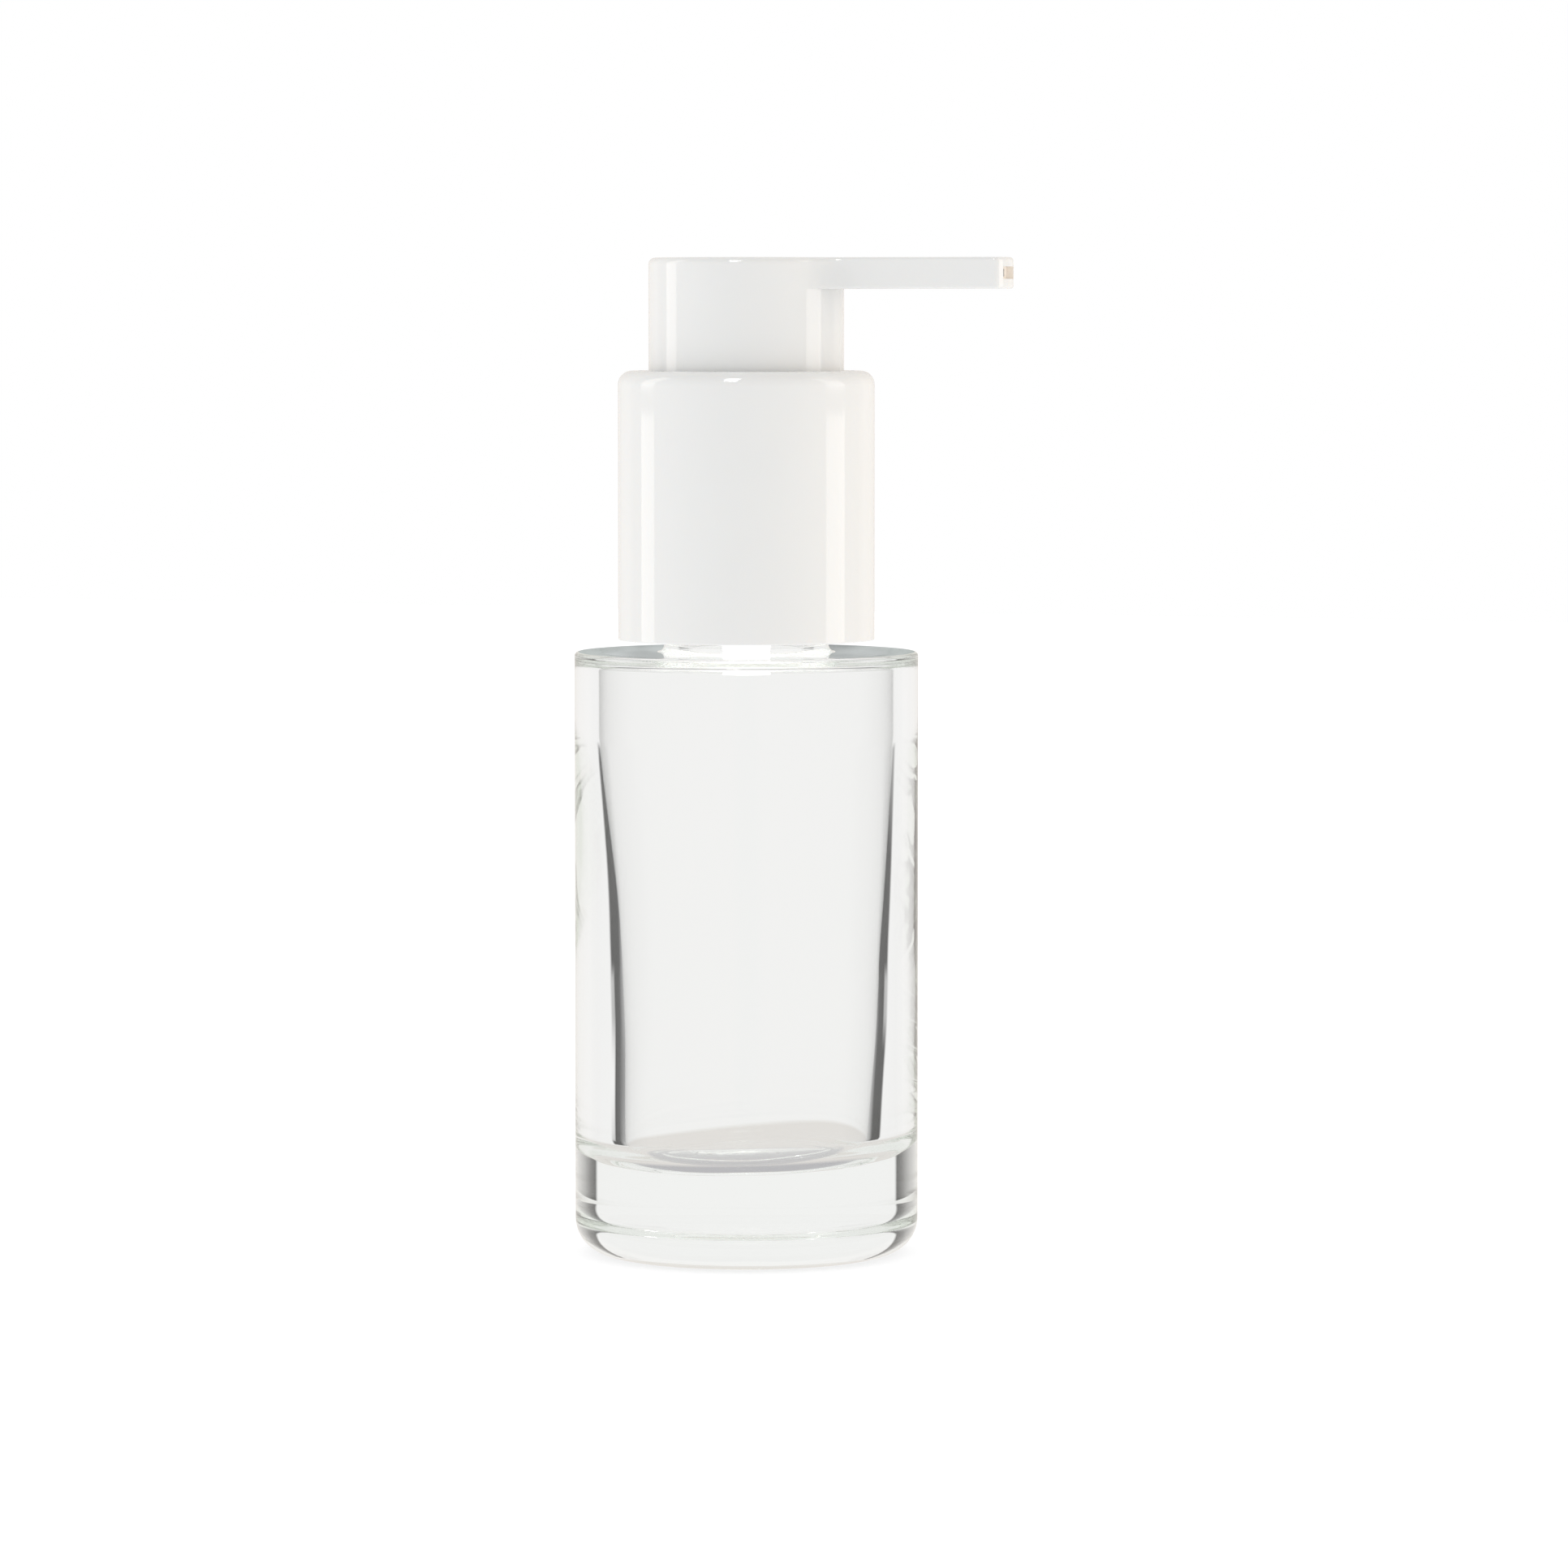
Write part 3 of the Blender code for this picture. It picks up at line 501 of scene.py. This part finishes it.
def half_outline():
    """Plan outline for y > 0 from the tip's middle to the back of the button.

    Each entry is (point, outward normal, share): share is 1 on the spout and 0 on the button.
    """
    root = Vector((0, ARM_ROOT_HALF_WIDTH))
    tip = Vector((ARM_REACH, ARM_TIP_HALF_WIDTH))
    along = (tip - root).normalized()
    normal = Vector((-along.y, along.x))
    offset = root.dot(normal)

    tip_centre = Vector((ARM_REACH - ARM_TIP_ROUND, 0))
    inset = offset - ARM_CORNER_ROUND - normal.dot(tip_centre)
    reach = math.sqrt((ARM_TIP_ROUND - ARM_CORNER_ROUND) ** 2 - inset ** 2)
    corner = tip_centre + normal * inset + along * reach
    corner_angle = math.atan2(corner.y - tip_centre.y, corner.x - tip_centre.x)
    side_angle = math.atan2(normal.y, normal.x)

    blend_offset = offset + ARM_BLEND_ROUND
    reach = math.sqrt((HEAD_RADIUS + ARM_BLEND_ROUND) ** 2 - blend_offset ** 2)
    blend = normal * blend_offset + along * reach
    joint_angle = math.atan2(blend.y, blend.x)

    entries = []
    for k in range(9):
        angle = corner_angle * k / 8
        direction = polar((0, 0), 1, angle)
        entries.append((tip_centre + direction * ARM_TIP_ROUND, direction, 1.0))
    for k in range(1, 9):
        angle = corner_angle + (side_angle - corner_angle) * k / 8
        direction = polar((0, 0), 1, angle)
        entries.append((corner + direction * ARM_CORNER_ROUND, direction, 1.0))
    start = corner + normal * ARM_CORNER_ROUND
    end = blend - normal * ARM_BLEND_ROUND
    for k in range(1, 16):
        entries.append((start.lerp(end, k / 16), normal, 1.0))
    first = side_angle + math.pi
    last = joint_angle + math.pi
    for k in range(13):
        angle = first + (last - first) * k / 12
        direction = polar((0, 0), 1, angle)
        entries.append((blend + direction * ARM_BLEND_ROUND, -direction, 1 - smooth(k / 12)))
    steps = 84
    for k in range(1, steps + 1):
        direction = polar((0, 0), 1, joint_angle + (math.pi - joint_angle) * k / steps)
        entries.append((direction * HEAD_RADIUS, direction, 0.0))
    return entries, joint_angle


def button_mesh():
    """Outer surface of button and spout as rows round the plan outline, then the turned inside."""
    half, joint_angle = half_outline()
    mirrored = [(Vector((p.x, -p.y)), Vector((n.x, -n.y)), s) for p, n, s in reversed(half[1:-1])]
    columns = half + mirrored
    count = len(columns)
    low_z = HEAD_TOP_Z - ARM_HEIGHT
    bm = bmesh.new()

    def row(inset_and_z):
        ring = []
        for point, normal, share in columns:
            inset, z = inset_and_z(share)
            ring.append(bm.verts.new((*(point - normal * inset), z)))
        return ring

    def edge_round(share):
        return (BUTTON_EDGE_ROUND + (SPOUT_EDGE_ROUND - BUTTON_EDGE_ROUND) * share) * MM

    def under_round(share):
        return SPOUT_UNDER_ROUND * share

    def top_edge(share, a):
        size = edge_round(share)
        return size * (1 - math.sin(a)), HEAD_TOP_Z - size * (1 - math.cos(a))

    def under_edge(share, a):
        size = under_round(share)
        return size * (1 - math.cos(a)), low_z + size * (1 - math.sin(a))

    rows = [row(lambda s: (edge_round(s) + TOP_BAND, HEAD_TOP_Z))]
    for k in range(9):
        a = math.pi / 2 * k / 8
        rows.append(row(lambda s: top_edge(s, a)))
    for k in range(6):
        a = math.pi / 2 * k / 5
        rows.append(row(lambda s: under_edge(s, a)))
    for upper, lower in zip(rows, rows[1:]):
        for k in range(count):
            n = (k + 1) % count
            bm.faces.new((upper[k], lower[k], lower[n], upper[n]))
    bm.faces.new(rows[0])

    # columns of the button itself, and the arc that closes its circle under the spout
    last = rows[-1]
    joint = next(k for k, entry in enumerate(half) if entry[2] == 0.0)
    back = [last[k] for k in range(joint, count - joint + 1)]
    arc_steps = 20
    angles = [-joint_angle + 2 * joint_angle * k / arc_steps for k in range(1, arc_steps)]
    front = [bm.verts.new((*polar((0, 0), HEAD_RADIUS, a), low_z)) for a in angles]
    spout = [last[k % count] for k in range(count - joint, count + joint + 1)]
    bm.faces.new(spout + list(reversed(front)))

    circle = back + front
    directions = [Vector(v.co.xy).normalized() for v in circle]
    inner = HEAD_RADIUS - BUTTON_WALL
    socket_top_z = low_z - 0.8 * MM
    roof_z = HEAD_TOP_Z - BUTTON_ROOF
    drops = (0.1, 0.3, 1.0, 2.5, 5.0, 7.5)
    outline = [(HEAD_RADIUS, low_z - drop * MM) for drop in drops]
    skirt = SKIRT_ROUND
    outline += arc((HEAD_RADIUS - skirt, SKIRT_BOTTOM_Z + skirt), skirt, 0, -90, 5)
    outline += [(inner, SKIRT_BOTTOM_Z), (inner, roof_z), (SOCKET_RADIUS, roof_z)]
    outline += [(SOCKET_RADIUS, SOCKET_BOTTOM_Z + 1.6 * MM)]
    outline += [(SOCKET_FLANGE_RADIUS, SOCKET_BOTTOM_Z + 1.0 * MM)]
    outline += [(SOCKET_FLANGE_RADIUS, SOCKET_BOTTOM_Z)]
    outline += [(SOCKET_BORE_RADIUS, SOCKET_BOTTOM_Z), (SOCKET_BORE_RADIUS, socket_top_z)]
    above = circle
    for r, z in outline:
        below = [bm.verts.new((*(d * r), z)) for d in directions]
        for k in range(len(circle)):
            n = (k + 1) % len(circle)
            bm.faces.new((above[k], below[k], below[n], above[n]))
        above = below
    bm.faces.new(above)
    bmesh.ops.remove_doubles(bm, verts=bm.verts, dist=1e-7)
    bmesh.ops.dissolve_degenerate(bm, edges=bm.edges, dist=1e-8)
    bmesh.ops.recalc_face_normals(bm, faces=bm.faces)
    mesh = bpy.data.meshes.new("button")
    bm.to_mesh(mesh)
    bm.free()
    return mesh


def box_mesh(name, low, high):
    bm = bmesh.new()
    size = Vector(high) - Vector(low)
    centre = (Vector(high) + Vector(low)) / 2
    placed = Matrix.Translation(centre) @ Matrix.Diagonal(size).to_4x4()
    bmesh.ops.create_cube(bm, size=1, matrix=placed)
    mesh = bpy.data.meshes.new(name)
    bm.to_mesh(mesh)
    bm.free()
    return mesh


def cut_or_join(mesh, steps):
    """mesh after Boolean steps (operation, other mesh), as a new mesh."""
    target = bpy.data.objects.new("boolean_target", mesh)
    bpy.context.collection.objects.link(target)
    guides = []
    for operation, other in steps:
        guide = bpy.data.objects.new(other.name, other)
        bpy.context.collection.objects.link(guide)
        modifier = target.modifiers.new(other.name, "BOOLEAN")
        modifier.operation = operation
        modifier.object = guide
        guides.append(guide)
    depsgraph = bpy.context.evaluated_depsgraph_get()
    result = bpy.data.meshes.new_from_object(target.evaluated_get(depsgraph))
    for obj in [target, *guides]:
        bpy.data.objects.remove(obj, do_unlink=True)
    return result


def mark_rim(mesh, z):
    """Marks the rim of the flat faces at height z sharp, so that the roundings beside them shade alone."""
    rim = set()
    for face in mesh.polygons:
        if all(abs(mesh.vertices[v].co.z - z) < 0.001 * MM for v in face.vertices):
            rim.update(face.edge_keys)
    for edge in mesh.edges:
        if edge.key in rim:
            edge.use_edge_sharp = True


def make_button(material, mouth_shade_material):
    low_z = HEAD_TOP_Z - ARM_HEIGHT
    duct_half = ARM_ROOT_HALF_WIDTH - 0.8 * MM
    duct = box_mesh("duct", (-1 * MM, -duct_half, low_z + 0.02 * MM),
                    (HEAD_RADIUS - 0.6 * MM, duct_half, HEAD_TOP_Z - 0.9 * MM))
    bore_low_z = low_z - 1.3 * MM
    bore_outline = [(0, bore_low_z), (OUTLET_RADIUS, bore_low_z), (OUTLET_RADIUS, CHANNEL_Z), (0, CHANNEL_Z)]
    bore = turned_mesh("outlet_bore", bore_outline, 48)
    channel = box_mesh("channel", (-OUTLET_RADIUS, -CHANNEL_WIDTH / 2, CHANNEL_Z - CHANNEL_HEIGHT / 2),
                       (ARM_REACH + 2 * MM, CHANNEL_WIDTH / 2, CHANNEL_Z + CHANNEL_HEIGHT / 2))
    mouth = box_mesh("mouth", (ARM_REACH - MOUTH_DEPTH, -MOUTH_WIDTH / 2, CHANNEL_Z - MOUTH_HEIGHT / 2),
                     (ARM_REACH + 2 * MM, MOUTH_WIDTH / 2, CHANNEL_Z + MOUTH_HEIGHT / 2))
    cuts = [("UNION", duct), ("DIFFERENCE", bore), ("DIFFERENCE", channel), ("DIFFERENCE", mouth)]
    mesh = cut_or_join(button_mesh(), cuts)
    mesh.name = "pump_button"
    piece = finish_piece("pump_button", mesh, "head", material, "white_plastic", "actuator_head")
    mark_rim(piece.data, low_z)
    piece.data.materials.append(mouth_shade_material)
    # faces inside the mouth take the second material, with its painted shade and painted glow
    tolerance = 0.01 * MM
    for face in piece.data.polygons:
        inside = abs(face.center.y) < MOUTH_WIDTH / 2 + tolerance
        inside = inside and abs(face.center.z - CHANNEL_Z) < MOUTH_HEIGHT / 2 + tolerance
        outward = face.normal.x > 0.8 and face.center.x > ARM_REACH - MOUTH_DEPTH / 2
        if inside and not outward and face.center.x > ARM_REACH - 2 * MOUTH_DEPTH:
            face.material_index = 1


# ---------------------------------------------------------------- spring

def make_spring(material):
    """Round wire coil with closed ends."""
    low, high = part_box("return_spring")
    wire = 0.35 * MM
    radius = (high[0] - low[0]) / 2 - wire
    turns = 6.0
    end_turns = 0.9
    low_z = low[2] + wire
    high_z = high[2] - wire
    end_rise = end_turns * 2.3 * wire
    sides = 16
    steps = int(turns * 48)
    bm = bmesh.new()
    rings = []
    for step in range(steps + 1):
        t = turns * step / steps
        active = (t - end_turns) / (turns - 2 * end_turns)
        if active < 0:
            z = low_z + end_rise * t / end_turns
        elif active > 1:
            z = high_z - end_rise * (turns - t) / end_turns
        else:
            z = low_z + end_rise + active * (high_z - low_z - 2 * end_rise)
        angle = math.tau * t
        ring = []
        for k in range(sides):
            a = math.tau * k / sides
            r = radius + wire * math.cos(a)
            ring.append(bm.verts.new((r * math.cos(angle), r * math.sin(angle), z + wire * math.sin(a))))
        rings.append(ring)
    for near, far in zip(rings, rings[1:]):
        for k in range(sides):
            n = (k + 1) % sides
            bm.faces.new((near[k], near[n], far[n], far[k]))
    bm.faces.new(reversed(rings[0]))
    bm.faces.new(rings[-1])
    bmesh.ops.recalc_face_normals(bm, faces=bm.faces)
    mesh = bpy.data.meshes.new("coil_spring")
    bm.to_mesh(mesh)
    bm.free()
    piece = finish_piece("coil_spring", mesh, "swivel", material, "spring_steel", "return_spring")
    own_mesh(piece)


# ---------------------------------------------------------------- stage

def along_view(angle):
    """Unit vector in plan: 0 points from the object to the camera, positive turns to picture right."""
    a = VIEW_AZIMUTH + angle
    return Vector((math.sin(a), -math.cos(a), 0))


def make_camera():
    data = bpy.data.cameras.new("camera")
    camera = bpy.data.objects.new("camera", data)
    bpy.context.collection.objects.link(camera)
    right = Vector((math.cos(VIEW_AZIMUTH), math.sin(VIEW_AZIMUTH), 0))
    target = right * AIM_RIGHT + Vector((0, 0, AIM_HEIGHT))
    height = Vector((0, 0, CAMERA_HEIGHT))
    camera.location = along_view(0) * CAMERA_DISTANCE + right * AIM_RIGHT + height
    camera.rotation_euler = (camera.location - target).to_track_quat("Z", "Y").to_euler()
    data.sensor_width = SENSOR
    data.lens = SENSOR * (camera.location - target).length / PICTURE_WIDTH
    data.clip_start = 0.01
    bpy.context.scene.camera = camera


FLOOR_HALF = 1.5
PATCH_RADIUS = 44.5 * MM
# the painted shadow: dark in the middle, a lighter painted shade further out
PATCH_SHADE = (13.5 * MM, 17 * MM)  # radii between which the dark middle turns to the paper's tone
# the painted shade fades to white between these radii
PATCH_RIM = (37 * MM, 44 * MM)  # radii between which the paper's tone turns white
STRIP_DISTANCE = 0.5
STRIP_STRENGTH = 1.7
STRIP_BREAK = (0.0833, 0.0878)  # heights between which the strip lights are interrupted
STRIP_LOW_Z = -0.5
STRIP_HIGH_Z = 0.6
FILL_DISTANCE = 0.6
FILL_HEIGHTS = (-0.3, 0.6)
FILL_WIDTH = 0.5
REAR_STRENGTH = 0.15
REAR_TURN = 1.35  # the rear light's angle over the strip's
WARM = (1.0, 0.94, 0.89)
AMBER = (1.0, 0.5, 0.2)
PALE = (1.0, 0.96, 0.91)
BLUSH = (1.0, 0.83, 0.62)
# name, strip's angle in degrees, strip's width, fill's angle, fill's strength, fill's colour
SIDES = (
    ("left", -98.5, 0.155, -82, 0.9, PALE),
    ("right", 87, 0.2, 80, 1.05, BLUSH),
)


def make_floor():
    mesh = bpy.data.meshes.new("floor")
    half = FLOOR_HALF
    corners = [(-half, -half, 0), (half, -half, 0), (half, half, 0), (-half, half, 0)]
    mesh.from_pydata(corners, [], [(0, 1, 2, 3)])
    floor = bpy.data.objects.new("floor", mesh)
    floor.location.z = -0.02 * MM
    bpy.context.collection.objects.link(floor)
    material, _, _, shader = new_material("white_paper")
    shader.inputs["Base Color"].default_value = (0.97, 0.97, 0.97, 1)
    shader.inputs["Roughness"].default_value = 1.0
    shader.inputs["Specular IOR Level"].default_value = 0.0
    mesh.materials.append(material)
    floor.visible_transmission = False
    floor.visible_glossy = False
    floor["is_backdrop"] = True
    return floor


def make_table_patch():
    """The table round the base as the thick glass shows it, as an emitting disc: a painted shadow under the
    bottle, white further out.
    """
    bm = bmesh.new()
    bmesh.ops.create_circle(bm, cap_ends=True, segments=96, radius=PATCH_RADIUS)
    mesh = bpy.data.meshes.new("table_patch")
    bm.to_mesh(mesh)
    bm.free()
    patch = bpy.data.objects.new("table_patch", mesh)
    patch.location.z = -0.01 * MM
    bpy.context.collection.objects.link(patch)
    material, nodes, links, _ = new_material("shaded_paper")
    distance = nodes.new("ShaderNodeVectorMath")
    distance.operation = "LENGTH"
    links.new(object_space(nodes), distance.inputs[0])
    fade = nodes.new("ShaderNodeMapRange")
    fade.inputs["From Min"].default_value = PATCH_SHADE[0]
    fade.inputs["From Max"].default_value = PATCH_SHADE[1]
    links.new(distance.outputs["Value"], fade.inputs["Value"])
    # the painted shadow's tones: dark under the base, lighter painted shade round it
    tone = nodes.new("ShaderNodeMix")
    tone.data_type = "RGBA"
    tone.inputs[6].default_value = (0.50, 0.495, 0.515, 1)
    tone.inputs[7].default_value = (0.78, 0.755, 0.73, 1)
    links.new(fade.outputs["Result"], tone.inputs[0])
    rim = nodes.new("ShaderNodeMapRange")
    rim.inputs["From Min"].default_value = PATCH_RIM[0]
    rim.inputs["From Max"].default_value = PATCH_RIM[1]
    links.new(distance.outputs["Value"], rim.inputs["Value"])
    edge = nodes.new("ShaderNodeMix")
    edge.data_type = "RGBA"
    edge.inputs[7].default_value = (0.92, 0.92, 0.915, 1)
    links.new(rim.outputs["Result"], edge.inputs[0])
    links.new(tone.outputs[2], edge.inputs[6])
    painted_glow = nodes.new("ShaderNodeEmission")
    links.new(edge.outputs[2], painted_glow.inputs["Color"])
    links.new(painted_glow.outputs["Emission"], nodes["Material Output"].inputs["Surface"])
    mesh.materials.append(material)
    patch.visible_camera = False
    patch.visible_diffuse = False
    patch.visible_glossy = False
    patch.visible_shadow = False
    patch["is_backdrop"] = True


def make_shade_card(width, low_z, high_z, distance):
    """Mottled grey glowing card far behind the bottle, which only the flat top of the glass shoulder
    mirrors: a painted reflection on the shoulder.
    """
    right = Vector((math.cos(VIEW_AZIMUTH), math.sin(VIEW_AZIMUTH), 0)) * width / 2
    middle = along_view(math.pi) * distance
    places = ((-1, low_z), (1, low_z), (1, high_z), (-1, high_z))
    corners = [middle + right * side + Vector((0, 0, z)) for side, z in places]
    mesh = bpy.data.meshes.new("shade_card")
    mesh.from_pydata(corners, [], [(0, 1, 2, 3)])
    card = bpy.data.objects.new("shade_card", mesh)
    bpy.context.collection.objects.link(card)
    material, nodes, links, _ = new_material("shade_card")
    painted_glow = nodes.new("ShaderNodeEmission")
    mottle = noise(nodes, links, 60, 2, object_space(nodes))
    links.new(spread(nodes, links, mottle, 0.0, 0.9), painted_glow.inputs["Strength"])
    painted_glow.inputs["Color"].default_value = (0.85, 0.92, 0.92, 1)
    links.new(painted_glow.outputs["Emission"], nodes["Material Output"].inputs["Surface"])
    mesh.materials.append(material)
    card.visible_camera = False
    card.visible_diffuse = False
    card.visible_transmission = False
    card.visible_shadow = False
    card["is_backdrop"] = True


def add_light(name, angle, distance, low_z, high_z, width, strength, colour, receivers):
    """Upright area light at an angle from the camera's side of the object, facing the object's axis.

    strength is the light's brightness beside a white background of 1.
    """
    data = bpy.data.lights.new(name, "AREA")
    data.shape = "RECTANGLE"
    data.size = width
    data.size_y = high_z - low_z
    data.color = colour
    data.energy = strength * data.size * data.size_y * math.pi
    light = bpy.data.objects.new(name, data)
    bpy.context.collection.objects.link(light)
    centre_z = (low_z + high_z) / 2
    light.location = along_view(math.radians(angle)) * distance + Vector((0, 0, centre_z))
    light.rotation_euler = along_view(math.radians(angle)).to_track_quat("Z", "Y").to_euler()
    light.visible_camera = False
    light.visible_transmission = False
    light.light_linking.receiver_collection = receivers
    return light


def tilt_to_object(light, z):
    aim = Vector((0, 0, z))
    light.rotation_euler = (light.location - aim).to_track_quat("Z", "Y").to_euler()


def make_world():
    """White studio. What the glass refracts has a dark flag on each side of the white backdrop."""
    world = bpy.data.worlds.new("studio")
    bpy.context.scene.world = world
    world.use_nodes = True
    world.cycles.sampling_method = "NONE"
    nodes = world.node_tree.nodes
    links = world.node_tree.links
    background = nodes["Background"]
    turn = nodes.new("ShaderNodeMapping")
    turn.inputs["Rotation"].default_value = (0, 0, -VIEW_AZIMUTH)
    links.new(nodes.new("ShaderNodeTexCoord").outputs["Generated"], turn.inputs["Vector"])
    split = nodes.new("ShaderNodeSeparateXYZ")
    links.new(turn.outputs["Vector"], split.inputs["Vector"])
    angle = nodes.new("ShaderNodeMath")
    angle.operation = "ARCTAN2"
    links.new(split.outputs["X"], angle.inputs[0])
    links.new(split.outputs["Y"], angle.inputs[1])
    size = nodes.new("ShaderNodeMath")
    size.operation = "ABSOLUTE"
    links.new(angle.outputs[0], size.inputs[0])
    half_turns = nodes.new("ShaderNodeMath")
    half_turns.operation = "DIVIDE"
    half_turns.inputs[1].default_value = math.pi
    links.new(size.outputs[0], half_turns.inputs[0])

    def ramp(stops, tint=(1, 1, 1)):
        """Level by the angle from straight behind the object; stops are (degrees, level)."""
        node = nodes.new("ShaderNodeValToRGB")
        elements = node.color_ramp.elements
        while len(elements) > 1:
            elements.remove(elements[-1])
        for index, (at, level) in enumerate(stops):
            element = elements[0] if index == 0 else elements.new(at / 180)
            element.position = at / 180
            element.color = (*[level * t for t in tint], 1)
        links.new(half_turns.outputs[0], node.inputs["Fac"])
        return node.outputs["Color"]

    upright = nodes.new("ShaderNodeMath")
    upright.operation = "ARCSINE"
    links.new(split.outputs["Z"], upright.inputs[0])

    refracted = ramp([
        (0, 0.94), (50, 0.94), (52, 0.07), (57, 0.12), (64, 0.32), (76, 0.52), (90, 0.93), (180, 1.0),
    ])
    low_refracted = ramp([
        (0, 0.94), (45, 0.94), (47.5, 0.07), (57.5, 0.09), (62, 0.5), (86, 0.7), (96, 0.95), (180, 1.0),
    ])
    reflected = ramp([(0, 0.85), (48, 0.85), (60, 0.5), (100, 0.25), (180, 0.22)], (1.0, 0.95, 0.9))
    path = nodes.new("ShaderNodeLightPath")

    def choose(switch, otherwise, chosen):
        mix = nodes.new("ShaderNodeMix")
        mix.data_type = "RGBA"
        links.new(switch, mix.inputs[0])
        for socket, value in ((mix.inputs[6], otherwise), (mix.inputs[7], chosen)):
            if isinstance(value, float):
                socket.default_value = (value, value, value, 1)
            else:
                links.new(value, socket)
        return mix.outputs[2]

    def above(value, limit):
        node = nodes.new("ShaderNodeMath")
        node.operation = "GREATER_THAN"
        node.inputs[1].default_value = limit
        links.new(value, node.inputs[0])
        return node.outputs[0]

    steep = nodes.new("ShaderNodeMapRange")
    steep.inputs["From Min"].default_value = math.radians(-8)
    steep.inputs["From Max"].default_value = math.radians(-14)
    links.new(upright.outputs[0], steep.inputs["Value"])
    edge = choose(steep.outputs["Result"], refracted, low_refracted)
    through = above(path.outputs["Transmission Depth"], 3.5)
    inside = choose(above(path.outputs["Glossy Depth"], 0.5), 0.935, 0.85)
    edge = choose(above(path.outputs["Glossy Depth"], 2.5), edge, 0.9)
    refracted = choose(through, edge, inside)
    level = choose(path.outputs["Is Glossy Ray"], 0.775, reflected)
    level = choose(path.outputs["Is Transmission Ray"], level, refracted)
    level = choose(path.outputs["Is Camera Ray"], level, 1.0)
    links.new(level, background.inputs["Color"])


def make_stage():
    make_camera()
    floor = make_floor()
    make_table_patch()
    make_world()
    make_shade_card(100 * MM, 110 * MM, 119 * MM, 1.0)
    receivers = bpy.data.collections.new("lit_pieces")
    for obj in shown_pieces():
        if obj.name != "bottle_glass":
            receivers.objects.link(obj)
    floor_only = bpy.data.collections.new("lit_floor")
    floor_only.objects.link(floor)
    for name, angle, width, fill_angle, fill_strength, fill_colour in SIDES:
        low = add_light(name + "_strip_low", angle, STRIP_DISTANCE, STRIP_LOW_Z, STRIP_BREAK[0],
                        width, STRIP_STRENGTH, WARM, receivers)
        high = add_light(name + "_strip_high", angle, STRIP_DISTANCE, STRIP_BREAK[1], STRIP_HIGH_Z,
                         width, STRIP_STRENGTH, WARM, receivers)
        low.visible_diffuse = False
        high.visible_diffuse = False
        fill = add_light(name + "_fill", fill_angle, FILL_DISTANCE, *FILL_HEIGHTS,
                         FILL_WIDTH, fill_strength, fill_colour, receivers)
        rear = add_light(name + "_rear", angle * REAR_TURN, FILL_DISTANCE, *FILL_HEIGHTS,
                         FILL_WIDTH, REAR_STRENGTH, AMBER, receivers)
        fill.visible_glossy = False
        rear.visible_glossy = False
    glint = add_light("glint", -16, 0.45, 0.43, 0.75, 0.12, 14.0, (1, 1, 1), receivers)
    glint.visible_diffuse = False
    tilt_to_object(glint, 0.095)
    sun = bpy.data.lights.new("floor_light", "SUN")
    sun.energy = 1.2
    sun.angle = math.radians(120)
    lamp = bpy.data.objects.new("floor_light", sun)
    bpy.context.collection.objects.link(lamp)
    lamp.light_linking.receiver_collection = floor_only
    scene = bpy.context.scene
    scene.view_settings.view_transform = "Standard"
    scene.cycles.max_bounces = 64
    scene.cycles.glossy_bounces = 48
    scene.cycles.transmission_bounces = 48


# ---------------------------------------------------------------- assembly

def dress_nodes(white, painted_glow_white, natural, tube, foam, steel):
    """Better finishes on the CAD nodes that stay; the closure's white carries a painted glow."""
    finishes = {
        "screw_closure": painted_glow_white, "turret": white, "pump_housing": natural, "ball_retainer": natural,
        "stem": natural, "piston_rod": natural, "piston": natural, "dip_tube": tube,
        "neck_gasket": foam, "inlet_ball": steel,
    }
    for node, material in finishes.items():
        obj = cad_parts[node]
        obj.data.materials.clear()
        obj.data.materials.append(material)


glass = glass_material()
white = plastic_material("white_polypropylene", (0.842, 0.848, 0.844), 0.035)
# the closure's white glows: painted light brightening the closure inside the collar, seen through the glass
painted_glow_white = plastic_material("white_inner_painted_glow_polypropylene", (0.86, 0.86, 0.85), 0.3, painted_glow=0.3)
# inside the spout's mouth: a darker, warmer painted shade, lifted by a painted glow
mouth_shade_plastic = plastic_material("mouth_painted_shade_polypropylene", (0.85, 0.80, 0.74), 0.3, painted_glow=0.13)
natural = frosted_material()
foam = plastic_material("gasket_foam", (0.78, 0.78, 0.76), 0.8)
tube = clear_tube_material()
steel = steel_material()

make_bottle(glass)
make_collar(white)
make_button(white, mouth_shade_plastic)
make_spring(steel)
dress_nodes(white, painted_glow_white, natural, tube, foam, steel)
make_stage()
